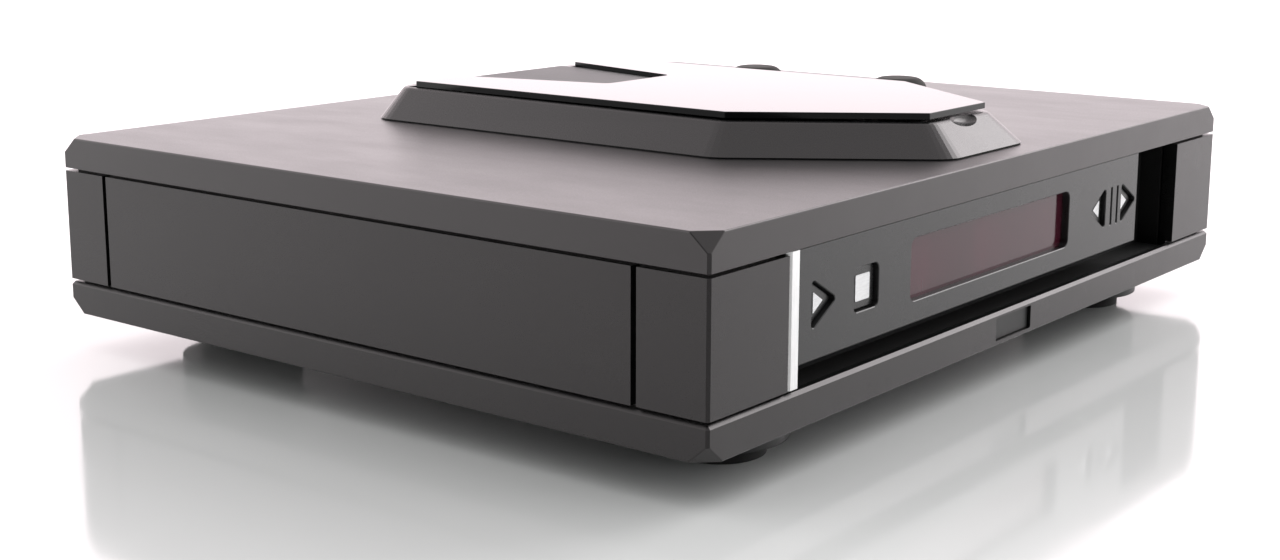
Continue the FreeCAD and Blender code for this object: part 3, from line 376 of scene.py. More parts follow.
def moulded(name, colour, rough, grain=0.0005, depth=1.2e-5):
    """Moulded plastic with a light spark-eroded texture."""
    r = Recipe(name)
    pits = r.cells(grain)
    wide = r.cloud(0.03, 3.0)
    r.colour(r.shades(wide, tinted(colour, 0.85), tinted(colour, 1.15)))
    r.roughness(r.maths(
        "ADD", r.ramp(pits, 0.04, -0.04, 0.1, 0.7), r.ramp(wide, rough - 0.03, rough + 0.04)))
    r.relief(pits, depth)
    return r.finish


def soft_rubber(name, colour):
    """Matt rubber with a fine uneven skin."""
    r = Recipe(name)
    r.set(Specular_IOR_Level=0.35, Sheen_Weight=0.15, Sheen_Roughness=0.5)
    fine = r.cloud(0.0007, 4.0, 0.65)
    wide = r.cloud(0.012, 2.0)
    r.colour(r.shades(wide, tinted(colour, 0.8), tinted(colour, 1.25)))
    r.roughness(r.ramp(fine, 0.72, 0.9))
    r.relief(fine, 4e-5)
    return r.finish


def dark_glass(name, colour):
    """Smoked window with a faint upright shading."""
    r = Recipe(name)
    r.set(Specular_IOR_Level=0.38, IOR=1.5)
    smear = r.cloud(0.02, 3.0, 0.6, (1.0, 1, 0.12))
    r.colour(r.shades(smear, tinted(colour, 0.72), tinted(colour, 1.2)))
    r.roughness(r.ramp(smear, 0.07, 0.14))
    return r.finish


def circuit_board(name, mask, copper):
    """Solder mask with tracks that show through it and tinned pads."""
    r = Recipe(name)
    brick = r.nodes.new("ShaderNodeTexBrick")
    brick.inputs["Scale"].default_value = 1.0
    brick.inputs["Mortar Size"].default_value = 0.09
    brick.inputs["Brick Width"].default_value = 3.1
    brick.inputs["Row Height"].default_value = 0.9
    brick.inputs["Color1"].default_value = (*mask, 1)
    brick.inputs["Color2"].default_value = (*tinted(mask, 0.82), 1)
    brick.inputs["Mortar"].default_value = (*tinted(mask, 1.9), 1)
    r.wire(r.stretched((260, 260, 260)), brick.inputs["Vector"])
    pads = r.cells(0.0055)
    mix = r.nodes.new("ShaderNodeMix")
    mix.data_type = "RGBA"
    r.wire(r.ramp(pads, 1.0, 0.0, 0.13, 0.16), mix.inputs["Factor"])
    r.wire(brick.outputs["Color"], mix.inputs["A"])
    mix.inputs["B"].default_value = (*copper, 1)
    r.colour(mix.outputs["Result"])
    r.roughness(r.ramp(r.cloud(0.006), 0.28, 0.42))
    r.relief(brick.outputs["Fac"], 2e-5)
    return r.finish


def wound_wire(name, colour, centre):
    """Enamelled wire wound round a ring core, seen as fine radial lines."""
    r = Recipe(name)
    r.set(Metallic=0.55, Coat_Weight=0.5, Coat_Roughness=0.15)
    x, y = r.from_axis(centre)
    angle = r.maths("ARCTAN2", y, x)
    lines = r.maths("SINE", r.maths("MULTIPLY", angle, 210.0))
    tape = r.maths("SINE", r.maths("MULTIPLY", angle, 26.0))
    blend = r.maths("ADD", r.maths("MULTIPLY", lines, 0.3), r.maths("MULTIPLY", tape, 0.2))
    r.colour(r.shades(
        r.ramp(blend, 0, 1, -0.5, 0.5), tinted(colour, 0.55), tinted(colour, 1.2)))
    r.roughness(r.ramp(blend, 0.42, 0.28, -0.5, 0.5))
    r.relief(lines, 1.5e-4)
    return r.finish


def ringed_plastic(name, colour, rough, centre, pitch):
    """Turned surface with fine rings about an upright axis."""
    r = Recipe(name)
    x, y = r.from_axis(centre)
    away = r.maths("SQRT", r.maths("ADD", r.maths("MULTIPLY", x, x), r.maths("MULTIPLY", y, y)))
    rings = r.maths("SINE", r.maths("MULTIPLY", away, 2 * math.pi / pitch))
    fine = r.cloud(0.0006, 3.0)
    r.colour(r.shades(r.cloud(0.03), tinted(colour, 0.85), tinted(colour, 1.15)))
    r.roughness(r.maths(
        "ADD", r.ramp(rings, -0.04, 0.04, -1, 1), r.ramp(fine, rough - 0.04, rough + 0.04)))
    r.relief(rings, 1.2e-5)
    r.relief(fine, 6e-6)
    return r.finish


# ----------------------------------------------------------------- settings

def metre(name, text, value):
    """A length setting, in metres."""
    return bpy.props.FloatProperty(
        name=name, description=text, default=value, min=0.0, max=1.0,
        unit="LENGTH", precision=5)


def tone(name, text, value):
    """A colour setting."""
    return bpy.props.FloatVectorProperty(
        name=name, description=text, default=value, size=3, min=0.0, max=1.0,
        subtype="COLOR")


def share(name, text, value):
    """A setting between nothing and one."""
    return bpy.props.FloatProperty(
        name=name, description=text, default=value, min=0.0, max=1.0, subtype="FACTOR")


class PlayerColours(bpy.types.PropertyGroup):
    case: tone("Case", "Anodised case plates", (0.007, 0.0072, 0.0074))
    case_tint: tone("Case sheen", "Tint of the light that the case reflects", (1.0, 0.93, 0.94))
    case_rough: share("Case roughness", "How matt the case plates are", 0.30)
    top_rough: share("Top roughness", "How matt the top cover is", 0.34)
    fascia: tone("Fascia", "Front panel behind the buttons", (0.013, 0.013, 0.0135))
    strip: tone("Strip", "Bright upright strip", (0.80, 0.80, 0.80))
    mark: tone("Button marks", "Inlaid button signs", (0.88, 0.88, 0.89))
    glass: tone("Display glass", "Smoked display window", (0.052, 0.008, 0.017))
    lid: tone("Lid", "Polished lid", (0.006, 0.006, 0.0065))
    plinth: tone("Plinth", "Raised surround of the lid", (0.010, 0.010, 0.0105))
    plastic: tone("Black plastic", "Moulded parts", (0.012, 0.012, 0.013))
    rubber: tone("Rubber", "Feet pads and isolators", (0.010, 0.010, 0.010))
    steel: tone("Steel", "Plated steel parts", (0.56, 0.56, 0.58))
    gold: tone("Gold plating", "Socket barrels", (0.83, 0.60, 0.26))
    board: tone("Board", "Solder mask", (0.006, 0.045, 0.020))
    copper: tone("Copper", "Enamelled wire", (0.62, 0.25, 0.10))


class PlayerSizes(bpy.types.PropertyGroup):
    screw_recess: metre("Screw socket", "Width of a screw's socket", 0.0022)
    screw_depth: metre("Screw socket depth", "How deep the socket goes", 0.0008)
    screw_edge: metre("Screw edge", "Rounding of a screw's head", 0.00035)
    foot_edge: metre("Foot edge", "Rounding of the collar's edges", 0.0008)
    foot_step: metre("Foot pad height", "Height of the narrow part of a foot", 0.0065)
    foot_pad: share("Foot pad width", "Width of the narrow part to the collar", 0.69)
    pad_edge: metre("Pad edge", "Rounding of the pad's edges", 0.0007)
    pad_overlap: metre("Pad overlap", "How far the pad goes up into the collar", 0.0008)
    puck_foot: metre("Puck foot", "Height of the puck's inset foot", 0.0016)
    puck_inset: metre("Puck inset", "How far that foot stands in", 0.0008)
    puck_neck: metre("Puck neck", "Height of the neck above the foot", 0.0008)
    puck_side: metre("Puck side", "Height that the dome leaves straight", 0.004)
    puck_dome: share("Puck dome", "Widest dome to the puck's radius", 0.72)
    nut: metre("Nut", "Thickness of a phono nut", 0.0016)
    nut_gap: metre("Nut gap", "Clearance of the nut round the insert", 0.0003)
    barrel_wall: metre("Barrel wall", "Wall of a phono barrel", 0.0006)
    insert_gap: metre("Insert gap", "Clearance round a phono insert", 0.00003)
    pin_hole: metre("Pin hole", "Radius of the hole for a phono pin", 0.0021)
    pin_depth: metre("Pin hole depth", "Depth of the hole for a phono pin", 0.0068)
    port_edge: metre("Port edge", "Wall round the optical port", 0.0017)
    port_depth: metre("Port depth", "Depth of the optical port", 0.006)
    pin_edge: metre("Inlet pin edge", "Rounding of the mains pins", 0.0005)
    lens_holder: metre("Lens holder", "Height of the ring round the lens", 0.0012)
    lens_rim: metre("Lens rim", "How far the lens stands in from the ring", 0.0009)
    lens_sunk: metre("Lens level", "Height of the lens's widest part", 0.0008)
    sleeve_wall: metre("Sleeve", "Thickness of a capacitor's sleeve", 0.0003)
    groove: metre("Groove", "Half the width of the vent grooves", 0.0002)
    groove_depth: metre("Groove depth", "Depth of the vent grooves", 0.0006)
    leg_pitch: metre("Leg pitch", "Distance from leg to leg of a chip", 0.00127)
    leg_width: metre("Leg width", "Width of a chip's leg", 0.0005)
    leg_height: metre("Leg height", "Height of a chip's leg", 0.0014)
    chip_lift: metre("Chip lift", "How far a chip stands above the board", 0.0004)
    chip_in: metre("Chip inset", "How far the legs reach out of a chip", 0.0008)


class PlayerStage(bpy.types.PropertyGroup):
    camera_place: bpy.props.FloatVectorProperty(
        name="Camera place", description="Where the camera stands",
        default=(-0.67752, -0.50986, 0.20792), subtype="TRANSLATION", unit="LENGTH",
        precision=5)
    camera_turn: bpy.props.FloatVectorProperty(
        name="Camera turn", description="How the camera is turned",
        default=tuple(math.radians(a) for a in (78.84105, -0.13121, -51.75822)),
        subtype="EULER", unit="ROTATION")
    camera_lens: bpy.props.FloatProperty(
        name="Lens", description="Focal length", default=51.04, unit="CAMERA")
    camera_rise: bpy.props.FloatProperty(
        name="Rise", description="Vertical shift of the lens", default=-0.0362)
    floor: tone("Floor", "Pale table", (0.74, 0.755, 0.748))
    sky: bpy.props.FloatProperty(
        name="Sky", description="Strength of the light from the walls", default=2.15, min=0.0)
    softbox: bpy.props.FloatProperty(
        name="Softbox", description="Power of the right softbox", default=13.0, unit="POWER")


def rgb(value):
    """A plain tuple of a colour setting."""
    return tuple(value)[:3]


FINISHES = {}


def middle_of(node):
    """The middle of a CAD node's box."""
    low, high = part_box(node)
    return (low + high) / 2


def make_finishes():
    """One finish for each kind of surface."""
    c = bpy.context.scene.player_colours
    case, tint, fascia = rgb(c.case), rgb(c.case_tint), rgb(c.fascia)
    hub, ring = middle_of("spindle_hub"), middle_of("transformer")
    FINISHES.update({
        "case": satin_paint("Anodised case", case, c.case_rough, tint),
        "top": satin_paint("Anodised top", case, c.top_rough, tint, sheen=0.66),
        "pillar": satin_paint("Anodised pillar", tinted(case, 1.05), c.case_rough, tint),
        # the recess liner's near-black matt colour is painted shade, standing in for the shadow
        # in the gap round the fascia
        "recess": satin_paint("Recess painted shade", (0.0018, 0.0018, 0.0018), 0.85),
        "strip": brushed_metal("Satin strip", rgb(c.strip), 0.34, (1, 1, 0.02), metal=0.85),
        "fascia": satin_paint("Front panel", fascia, 0.30, grain=0.0003),
        "glass": dark_glass("Display window", rgb(c.glass)),
        "module": moulded("Display tube", (0.02, 0.022, 0.024), 0.3),
        "sensor": gloss_lacquer("Remote sensor", (0.01, 0.004, 0.006), 0.08),
        "cap": satin_paint("Button cap", fascia, 0.28, grain=0.0003),
        "mark": brushed_metal("Button sign", rgb(c.mark), 0.45, (0.15, 1, 1), 2e-6, 0.3),
        "power": satin_paint("Power button", tinted(case, 1.15), 0.5, grain=0.0004),
        "lid": gloss_lacquer("Polished lid", rgb(c.lid), 0.05, 0.0, 0.25),
        "plinth": satin_paint("Plinth", rgb(c.plinth), 0.26, tint, 0.0004, 3e-6),
        "gasket": soft_rubber("Gasket", (0.008, 0.008, 0.008)),
        "hinge": satin_paint("Hinge block", (0.035, 0.035, 0.036), 0.5),
        "steel": brushed_metal("Plated steel", rgb(c.steel), 0.26, (1, 0.04, 1)),
        "round_steel": brushed_metal("Ground steel", rgb(c.steel), 0.2, (1, 1, 1), 1e-6),
        "chassis": brushed_metal("Zinc plated sheet", (0.50, 0.51, 0.52), 0.38, (0.05, 1, 1)),
        "magnet": brushed_metal("Nickelled magnet", (0.55, 0.54, 0.51), 0.18, (1, 1, 1), 1e-6),
        "bay": ringed_plastic("Disc bay", (0.014, 0.014, 0.015), 0.42, hub, 0.0026),
        "plastic": moulded("Black plastic", rgb(c.plastic), 0.45),
        "clamp": ringed_plastic("Disc clamp", (0.02, 0.02, 0.021), 0.38, hub, 0.0012),
        "hub": ringed_plastic("Spindle hub", (0.05, 0.05, 0.052), 0.34, hub, 0.0011),
        "rubber": soft_rubber("Rubber", rgb(c.rubber)),
        "motor": brushed_metal("Motor can", (0.62, 0.62, 0.63), 0.24, (1, 1, 0.08)),
        "lens": gloss_lacquer("Laser lens", (0.05, 0.035, 0.10), 0.03, 1.0),
        "lens_ring": moulded("Lens holder", (0.02, 0.02, 0.022), 0.4),
        "board": circuit_board("Main board", rgb(c.board), (0.55, 0.50, 0.36)),
        "chip": moulded("Chip body", (0.015, 0.015, 0.016), 0.5, 0.0003),
        "tin": brushed_metal("Tinned legs", (0.62, 0.62, 0.60), 0.3, (1, 1, 1), 1e-6),
        "sleeve": moulded("Capacitor sleeve", (0.012, 0.016, 0.035), 0.32),
        "can_top": brushed_metal("Capacitor top", (0.66, 0.66, 0.67), 0.3, (0.05, 1, 1)),
        "heatsink": satin_paint("Heat sink", (0.012, 0.012, 0.013), 0.5),
        "copper": wound_wire("Transformer winding", rgb(c.copper), ring),
        "gold": brushed_metal("Gold plating", rgb(c.gold), 0.18, (1, 0.05, 1)),
        "white_insert": moulded("Left channel insert", (0.75, 0.75, 0.73), 0.4),
        "red_insert": moulded("Right channel insert", (0.42, 0.012, 0.012), 0.4),
        "black_insert": moulded("Digital insert", (0.016, 0.016, 0.016), 0.4),
        "puck": satin_paint("Puck", (0.022, 0.021, 0.019), 0.62, sheen=0.16),
        "foot": satin_paint("Foot collar", (0.008, 0.008, 0.008), 0.42, grain=0.0005),
    })


def dress(node, finish):
    """Gives a CAD node its finish."""
    coat(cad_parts[node], FINISHES[finish])


CASE_NODES = {
    "bottom_cover": "case", "top_cover": "top",
    "pillar_front_left": "pillar", "pillar_front_right": "pillar",
    "pillar_rear_left": "pillar", "pillar_rear_right": "pillar",
    "side_panel_left": "case", "side_panel_right": "case",
    "rear_panel": "case", "recess_liner": "recess", "trim_strip": "strip",
}
FRONT_NODES = {
    "fascia": "fascia", "display_window": "glass", "infrared_receiver": "sensor",
    "front_board": "board", "button_switches": "plastic",
    "play_button": "cap", "stop_button": "cap", "previous_button": "cap",
    "next_button": "cap", "play_mark": "mark", "stop_mark": "mark",
    "previous_mark": "mark", "next_mark": "mark",
    "power_button": "power", "power_switch": "plastic",
}
LID_NODES = {
    "lid": "lid", "plinth": "plinth", "plinth_gasket": "gasket",
    "hinge_block": "hinge", "hinge_pin": "round_steel", "lid_lugs": "steel",
    "clamp_carrier": "plastic", "disc_clamp": "clamp", "clamp_magnet": "magnet",
}
DRIVE_NODES = {
    "disc_bay": "bay", "mechanism_chassis": "chassis", "guide_rods": "round_steel",
    "isolators": "rubber", "spindle_motor": "motor", "laser_sled": "plastic",
    "sled_screw": "round_steel", "sled_motor": "motor",
}
INSIDE_NODES = {
    "main_board": "board", "transformer": "copper", "transformer_clamp": "steel",
    "heatsink": "heatsink",
}


# ---------------------------------------------------------------- operators

def islands(node):
    """The boxes of a node's separate solids."""
    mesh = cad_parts[node].data
    keys = {}
    parent = []

    def root(i):
        while parent[i] != i:
            parent[i] = parent[parent[i]]
            i = parent[i]
        return i

    index = []
    for v in mesh.vertices:
        key = tuple(round(c, 6) for c in v.co)
        if key not in keys:
            keys[key] = len(parent)
            parent.append(len(parent))
        index.append(keys[key])
    for face in mesh.polygons:
        corners = [index[v] for v in face.vertices]
        for other in corners[1:]:
            a, b = root(corners[0]), root(other)
            if a != b:
                parent[a] = b
    boxes = {}
    for key, i in keys.items():
        place = Vector(key)
        home = root(i)
        if home not in boxes:
            boxes[home] = [place.copy(), place.copy()]
        low, high = boxes[home]
        for n in range(3):
            low[n] = min(low[n], place[n])
            high[n] = max(high[n], place[n])
    return sorted(boxes.values(), key=lambda b: (round(b[0].x, 4), round(b[0].y, 4)))


def upright(low, high):
    """The middle and the radius of an upright round box."""
    return (low.x + high.x) / 2, (low.y + high.y) / 2, (high.x - low.x) / 2


class PLAYER_OT_finishes(bpy.types.Operator):
    """Makes the finishes and gives them to the case, front, lid and drive"""
    bl_idname = "player.finishes"
    bl_label = "Finishes"

    def execute(self, context):
        make_finishes()
        for group in (CASE_NODES, FRONT_NODES, LID_NODES, DRIVE_NODES, INSIDE_NODES):
            for node, finish in group.items():
                dress(node, finish)
        return {"FINISHED"}


class PLAYER_OT_feet(bpy.types.Operator):
    """Makes the four feet: a wide turned collar with a narrower rubber pad below"""
    bl_idname = "player.feet"
    bl_label = "Feet"

    def execute(self, context):
        size = context.scene.player_sizes
        collars, pads = [], []
        for low, high in islands("feet"):
            x, y, radius = upright(low, high)
            step = low.z + size.foot_step
            collar = bar("collar", (x, y, step), radius, high.z - step, "Z", 96)
            carve(collar, facing((0, 0, -1), -step), (0, 0, -1),
                  [(0.0035, 0.0), (0.0012, -0.0010)])
            soften(collar, size.foot_edge, 4)
            collars.append(collar)
            pad = bar("pad", (x, y, low.z), radius * size.foot_pad,
                      step + size.pad_overlap - low.z, "Z", 80)
            carve(pad, facing((0, 0, -1), -low.z), (0, 0, -1),
                  [(0.0050, 0.0), (0.0010, -0.0008), (0.0060, 0.0), (0.0010, 0.0008),
                   (0.0020, 0.0), (0.0004, -0.0025)])
            soften(pad, size.pad_edge, 3)
            pads.append(pad)
        done(join("foot_collars", collars), FINISHES["foot"], "case", ("feet",))
        done(join("foot_pads", pads), FINISHES["rubber"], "case")
        return {"FINISHED"}


class PLAYER_OT_screws(bpy.types.Operator):
    """Makes the case screws with a hexagonal socket"""
    bl_idname = "player.screws"
    bl_label = "Case screws"

    def execute(self, context):
        size = context.scene.player_sizes
        heads = []
        for low, high in islands("case_screws"):
            x, y, radius = upright(low, high)
            head = bar("screw head", (x, y, low.z), radius, high.z - low.z, "Z", 40)
            soften(head, size.screw_edge, 3)
            socket = bar("socket", (x, y, low.z - 0.001), size.screw_recess / 2,
                         0.001 + size.screw_depth, "Z", 6)
            cut_with(head, [socket])
            heads.append(head)
        done(join("case_screw_heads", heads), FINISHES["round_steel"], "case",
             ("case_screws",))
        return {"FINISHED"}


class PLAYER_OT_pucks(bpy.types.Operator):
    """Makes the two domed pucks on the top cover"""
    bl_idname = "player.pucks"
    bl_label = "Top pucks"

    def execute(self, context):
        size = context.scene.player_sizes
        pieces = []
        for number, (low, high) in enumerate(islands("top_pucks")):
            x, y, radius = upright(low, high)
            crown = low.z + size.puck_foot
            puck = bar("puck", (x, y, low.z), radius - size.puck_inset, size.puck_foot, "Z", 96)
            carve(puck, facing((0, 0, 1), crown), (0, 0, 1),
                  [(0.0006, 0.0), (0.0, size.puck_neck)])
            crown += size.puck_neck
            body = bar("puck body", (x, y, crown), radius, high.z - crown, "Z", 96)
            hold(body)
            dome = body.modifiers.new("Dome", "BEVEL")
            dome.width = min(high.z - low.z - size.puck_side, radius * size.puck_dome)
            dome.segments = 14
            dome.profile = 0.5
            dome.limit_method = "ANGLE"
            bpy.ops.object.modifier_apply(modifier=dome.name)
            pieces.append(join("top_puck_%d" % (number + 1), [puck, body]))
        for n, piece in enumerate(pieces):
            done(piece, FINISHES["puck"], "case", ("top_pucks",) if n == 0 else ())
        return {"FINISHED"}


class PLAYER_OT_display(bpy.types.Operator):
    """Makes the display tube behind the window"""
    bl_idname = "player.display"
    bl_label = "Display tube"

    def execute(self, context):
        low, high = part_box("display_module")
        tube = block("display_tube", (low.x, low.y, low.z), high)
        carve(tube, facing((0, -1, 0), -low.y), (0, -1, 0),
              [(0.0022, 0.0), (0.0005, -0.0008)])
        soften(tube, 0.0004)
        done(tube, FINISHES["module"], "case", ("display_module",))
        return {"FINISHED"}


class PLAYER_OT_sockets(bpy.types.Operator):
    """Makes the phono sockets' plated barrels and coloured inserts, and the optical socket"""
    bl_idname = "player.sockets"
    bl_label = "Rear sockets"

    def execute(self, context):
        size = context.scene.player_sizes
        out = (0, 1, 0)
        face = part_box("rear_panel")[1].y
        shells, cores = [], islands("phono_inserts")
        for (low, high), (a, b) in zip(islands("phono_sockets"), cores):
            x, z = (low.x + high.x) / 2, (low.z + high.z) / 2
            core, length = (b.z - a.z) / 2, high.y - low.y
            nut = bar("nut", (x, face, z), (high.z - low.z) / 2, size.nut, "Y", 6)
            soften(nut, 0.0003)
            barrel = bar("barrel", (x, low.y, z), core + size.barrel_wall, length, "Y", 56)
            carve(barrel, facing(out, high.y), out, [(0.00025, 0.0)])
            cut_with(barrel, [
                bar("drill", (x, low.y - 0.001, z), core, length + 0.002, "Y", 56)])
            cut_with(nut, [
                bar("drill", (x, face - 0.001, z), core + size.nut_gap, 0.004, "Y", 56)])
            shells += [nut, barrel]
        done(join("phono_barrels", shells), FINISHES["gold"], "case",
             ("phono_sockets",))
        finishes = [FINISHES[key] for key in ("white_insert", "red_insert", "black_insert")]
        for number, ((a, b), finish) in enumerate(zip(cores, finishes)):
            core = (b.z - a.z) / 2
            insert = bar(
                "phono_insert_%d" % (number + 1), ((a.x + b.x) / 2, a.y, (a.z + b.z) / 2),
                core - size.insert_gap, b.y - a.y, "Y", 48)
            carve(insert, facing(out, b.y), out,
                  [(0.0004, 0.0), (core - 0.0004 - size.pin_hole, -0.0006),
                   (0.0004, 0.0), (0.0, -size.pin_depth)])
            done(insert, finish, "case", ("phono_inserts",) if number == 0 else ())
        low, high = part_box("optical_socket")
        shell = block("optical_shell", low, high)
        carve(shell, facing(out, high.y), out,
              [(size.port_edge, 0.0), (0.0003, -0.0004), (0.0, -size.port_depth)])
        soften(shell, 0.0003)
        done(shell, FINISHES["plastic"], "case", ("optical_socket",))
        return {"FINISHED"}


class PLAYER_OT_inlet(bpy.types.Operator):
    """Finishes the mains inlet and makes its three pins"""
    bl_idname = "player.inlet"
    bl_label = "Mains inlet"

    def execute(self, context):
        dress("mains_inlet", "plastic")
        pins = []
        for low, high in islands("inlet_pins"):
            pin = block("inlet pin", low, high)
            soften(pin, context.scene.player_sizes.pin_edge, 3)
            pins.append(pin)
        done(join("inlet_blades", pins), FINISHES["tin"], "case", ("inlet_pins",))
        return {"FINISHED"}


class PLAYER_OT_drive(bpy.types.Operator):
    """Finishes the spindle hub and makes the laser lens in its holder"""
    bl_idname = "player.drive"
    bl_label = "Spindle and lens"

    def execute(self, context):
        size = context.scene.player_sizes
        dress("spindle_hub", "hub")
        low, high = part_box("laser_lens")
        x, y, radius = upright(low, high)
        holder = bar("lens_holder", (x, y, low.z), radius, size.lens_holder, "Z", 64)
        carve(holder, facing((0, 0, 1), low.z + size.lens_holder), (0, 0, 1),
              [(0.0007, 0.0), (0.0002, -0.0004)])
        soften(holder, 0.00012)
        done(holder, FINISHES["lens_ring"], "sled", ("laser_lens",))
        let_go()
        widest = (x, y, low.z + size.lens_sunk)
        bpy.ops.mesh.primitive_uv_sphere_add(
            segments=48, ring_count=24, radius=radius - size.lens_rim, location=widest)
        dome = settle("lens_dome")
        hold(dome)
        bpy.ops.object.mode_set(mode="EDIT")
        bpy.ops.mesh.select_all(action="SELECT")
        bpy.ops.mesh.bisect(
            plane_co=widest, plane_no=(0, 0, 1), use_fill=True, clear_inner=True)
        bpy.ops.mesh.select_all(action="SELECT")
        bpy.ops.transform.resize(
            value=(1, 1, (high.z - low.z - 0.0009) / (radius - size.lens_rim)),
            center_override=widest)
        bpy.ops.object.mode_set(mode="OBJECT")
        done(dome, FINISHES["lens"], "sled", smooth=60)
        return {"FINISHED"}


class PLAYER_OT_inside(bpy.types.Operator):
    """Makes the capacitors, chips and their legs on the main board"""
    bl_idname = "player.inside"
    bl_label = "Board parts"

    def execute(self, context):
        size = context.scene.player_sizes
        self.capacitors(size)
        self.chips(size)
        return {"FINISHED"}

    def capacitors(self, size):
        sleeves, tops = [], []
        for low, high in islands("capacitors"):
            x, y, radius = upright(low, high)
            can = bar("capacitor", (x, y, low.z), radius - size.sleeve_wall,
                      high.z - low.z - size.sleeve_wall, "Z", 56)
            soften(can, 0.0012, 4)
            grooves = []
            for wide, deep in ((radius * 0.6, size.groove), (size.groove, radius * 0.6)):
                grooves.append(block(
                    "groove", (x - wide, y - deep, high.z - size.groove_depth),
                    (x + wide, y + deep, high.z + 0.001)))
            cut_with(can, grooves)
            tops.append(can)
            sleeve = bar("sleeve", (x, y, low.z), radius, high.z - low.z, "Z", 56)
            carve(sleeve, facing((0, 0, 1), high.z), (0, 0, 1),
                  [(radius * 0.2, 0.0), (0.0002, -0.0009)])
            soften(sleeve, 0.0006, 3)
            sleeves.append(sleeve)
        done(join("capacitor_sleeves", sleeves), FINISHES["sleeve"], "case",
             ("capacitors",))
        done(join("capacitor_cans", tops), FINISHES["can_top"], "case")

    def chips(self, size):
        bodies, legs = [], []
        for low, high in islands("chips"):
            body = block("chip", (low.x, low.y + size.chip_in, low.z + size.chip_lift),
                         (high.x, high.y - size.chip_in, high.z))
            soften(body, 0.0003)
            dot = bar("dot", (low.x + 0.0022, low.y + 0.003, high.z - 0.0003), 0.0008,
                      0.001, "Z", 24)
            cut_with(body, [dot])
            bodies.append(body)
            first, top = low.x + 0.001, low.z + size.leg_height
            leg = block("leg", (first, low.y, low.z), (first + size.leg_width, high.y, top))
            carve(leg, facing((0, 0, 1), top), (0, 0, 1), [(0.0001, 0.0002)])
            count = max(2, int((high.x - low.x - 0.002) / size.leg_pitch))
            legs += [leg] + [
                copy_to(leg, "leg", (size.leg_pitch * n, 0, 0)) for n in range(1, count)]
        done(join("chip_bodies", bodies), FINISHES["chip"], "case", ("chips",))
        done(join("chip_legs", legs), FINISHES["tin"], "case")


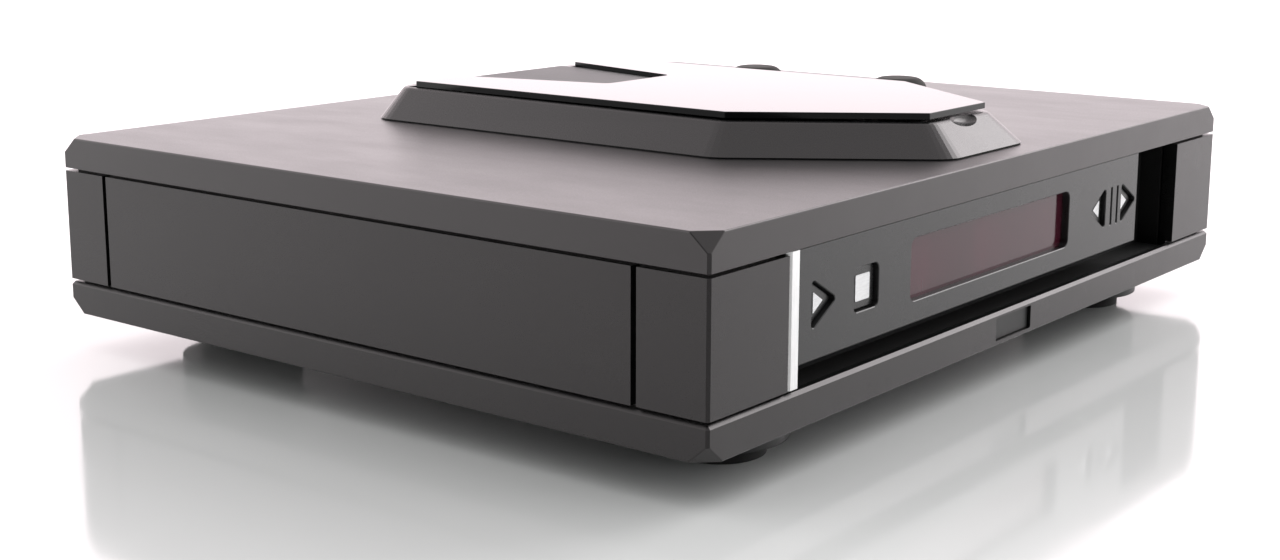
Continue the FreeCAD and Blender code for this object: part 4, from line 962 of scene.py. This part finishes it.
class PLAYER_OT_stage(bpy.types.Operator):
    """Sets the table, the soft studio light and the camera"""
    bl_idname = "player.stage"
    bl_label = "Studio"

    def execute(self, context):
        look = context.scene.player_stage
        let_go()
        bpy.ops.mesh.primitive_grid_add(
            x_subdivisions=8, y_subdivisions=8, size=14.0, location=(2, 2, 0))
        table = settle("table")
        r = Recipe("Pale table")
        floor = rgb(look.floor)
        wide = r.cloud(0.35, 3.0)
        r.colour(r.shades(wide, tinted(floor, 0.97), tinted(floor, 1.02)))
        r.set(Specular_IOR_Level=0.9)
        r.roughness(r.ramp(r.cloud(0.05, 3.0), 0.07, 0.12))
        table.data.materials.append(r.finish)
        world = context.scene.world or bpy.data.worlds.new("Studio")
        context.scene.world = world
        world.use_nodes = True
        self.room(world.node_tree, look)
        context.scene.view_settings.view_transform = "Standard"
        self.lamp("Right softbox", (1.55, -0.68, 1.2), (0, -0.1, 0.08), 1.1, look.softbox)
        camera = bpy.data.objects.new("Camera", bpy.data.cameras.new("Camera"))
        context.scene.collection.objects.link(camera)
        camera.location = look.camera_place
        camera.rotation_euler = look.camera_turn
        camera.data.sensor_width = 36.0
        camera.data.sensor_fit = "HORIZONTAL"
        camera.data.lens = look.camera_lens
        camera.data.shift_y = look.camera_rise
        camera.data.clip_start = 0.01
        camera.data.dof.use_dof = False
        context.scene.camera = camera
        return {"FINISHED"}

    def room(self, tree, look):
        """Light walls all round, darker in front and overhead, warm white behind."""
        tree.nodes.clear()
        place = tree.nodes.new("ShaderNodeTexCoord").outputs["Generated"]

        def band(way, low, high, tones):
            """Tones that follow how far a direction leans one way."""
            dot = tree.nodes.new("ShaderNodeVectorMath")
            dot.operation = "DOT_PRODUCT"
            dot.inputs[1].default_value = way
            tree.links.new(place, dot.inputs[0])
            spread = tree.nodes.new("ShaderNodeMapRange")
            spread.inputs["From Min"].default_value = low
            spread.inputs["From Max"].default_value = high
            tree.links.new(dot.outputs["Value"], spread.inputs["Value"])
            node = tree.nodes.new("ShaderNodeValToRGB")
            node.color_ramp.interpolation = "EASE"
            first, last = node.color_ramp.elements
            first.position, first.color = tones[0][0], (*tones[0][1], 1)
            last.position, last.color = tones[-1][0], (*tones[-1][1], 1)
            for position, tone_here in tones[1:-1]:
                node.color_ramp.elements.new(position).color = (*tone_here, 1)
            tree.links.new(spread.outputs["Result"], node.inputs["Fac"])
            return node.outputs["Color"]

        walls = band((0.786, 0.618, 0.0), -1.0, 1.0, [
            (0.12, (0.01, 0.01, 0.01)), (0.36, (1.0, 1.0, 1.0)),
            (0.60, (1.0, 0.985, 0.99)), (0.90, (1.0, 0.90, 0.93))])
        ceiling = band((0.0, 0.0, 1.0), 0.0, 1.0, [
            (0.40, (1.0, 1.0, 1.0)), (0.85, (0.55, 0.55, 0.55))])
        mix = tree.nodes.new("ShaderNodeMix")
        mix.data_type = "RGBA"
        mix.blend_type = "MULTIPLY"
        mix.inputs["Factor"].default_value = 1.0
        tree.links.new(walls, mix.inputs["A"])
        tree.links.new(ceiling, mix.inputs["B"])
        even = tree.nodes.new("ShaderNodeBackground")
        tree.links.new(mix.outputs["Result"], even.inputs["Color"])
        even.inputs["Strength"].default_value = look.sky
        out = tree.nodes.new("ShaderNodeOutputWorld")
        tree.links.new(even.outputs["Background"], out.inputs["Surface"])

    def lamp(self, name, place, target, size, power):
        """A square softbox that faces a point."""
        lamp = bpy.data.lights.new(name, "AREA")
        lamp.shape = "SQUARE"
        lamp.size = size
        lamp.energy = power
        holder = bpy.data.objects.new(name, lamp)
        bpy.context.scene.collection.objects.link(holder)
        holder.location = place
        way = Vector(target) - Vector(place)
        holder.rotation_euler = way.to_track_quat("-Z", "Y").to_euler()


OPERATORS = (
    PLAYER_OT_finishes, PLAYER_OT_feet, PLAYER_OT_screws, PLAYER_OT_pucks,
    PLAYER_OT_display, PLAYER_OT_sockets, PLAYER_OT_inlet, PLAYER_OT_drive,
    PLAYER_OT_inside, PLAYER_OT_stage,
)


class PLAYER_PT_panel(bpy.types.Panel):
    """Lists what the player is made of"""
    bl_idname = "PLAYER_PT_panel"
    bl_label = "Disc player"
    bl_space_type = "VIEW_3D"
    bl_region_type = "UI"
    bl_category = "Disc player"

    def draw(self, context):
        layout = self.layout
        for operator in OPERATORS:
            layout.operator(operator.bl_idname)
        for group in ("player_colours", "player_sizes", "player_stage"):
            settings = getattr(context.scene, group)
            column = layout.column(align=True)
            for name in settings.__annotations__:
                column.prop(settings, name)


GROUPS = (
    ("player_colours", PlayerColours),
    ("player_sizes", PlayerSizes),
    ("player_stage", PlayerStage),
)


def register():
    """Adds the settings, operators and panel to Blender."""
    for name, group in GROUPS:
        bpy.utils.register_class(group)
        setattr(bpy.types.Scene, name, bpy.props.PointerProperty(type=group))
    for operator in OPERATORS:
        bpy.utils.register_class(operator)
    bpy.utils.register_class(PLAYER_PT_panel)


def unregister():
    """Takes them out again."""
    bpy.utils.unregister_class(PLAYER_PT_panel)
    for operator in reversed(OPERATORS):
        bpy.utils.unregister_class(operator)
    for name, group in reversed(GROUPS):
        delattr(bpy.types.Scene, name)
        bpy.utils.unregister_class(group)


def corners(bounds):
    """Plain lists of a box's two corners."""
    return [[float(value) for value in corner] for corner in bounds]


def main():
    """Runs every operator once."""
    register()
    for operator in OPERATORS:
        family, name = operator.bl_idname.split(".")
        getattr(getattr(bpy.ops, family), name)()
    let_go()


if __name__ == "__main__":
    main()
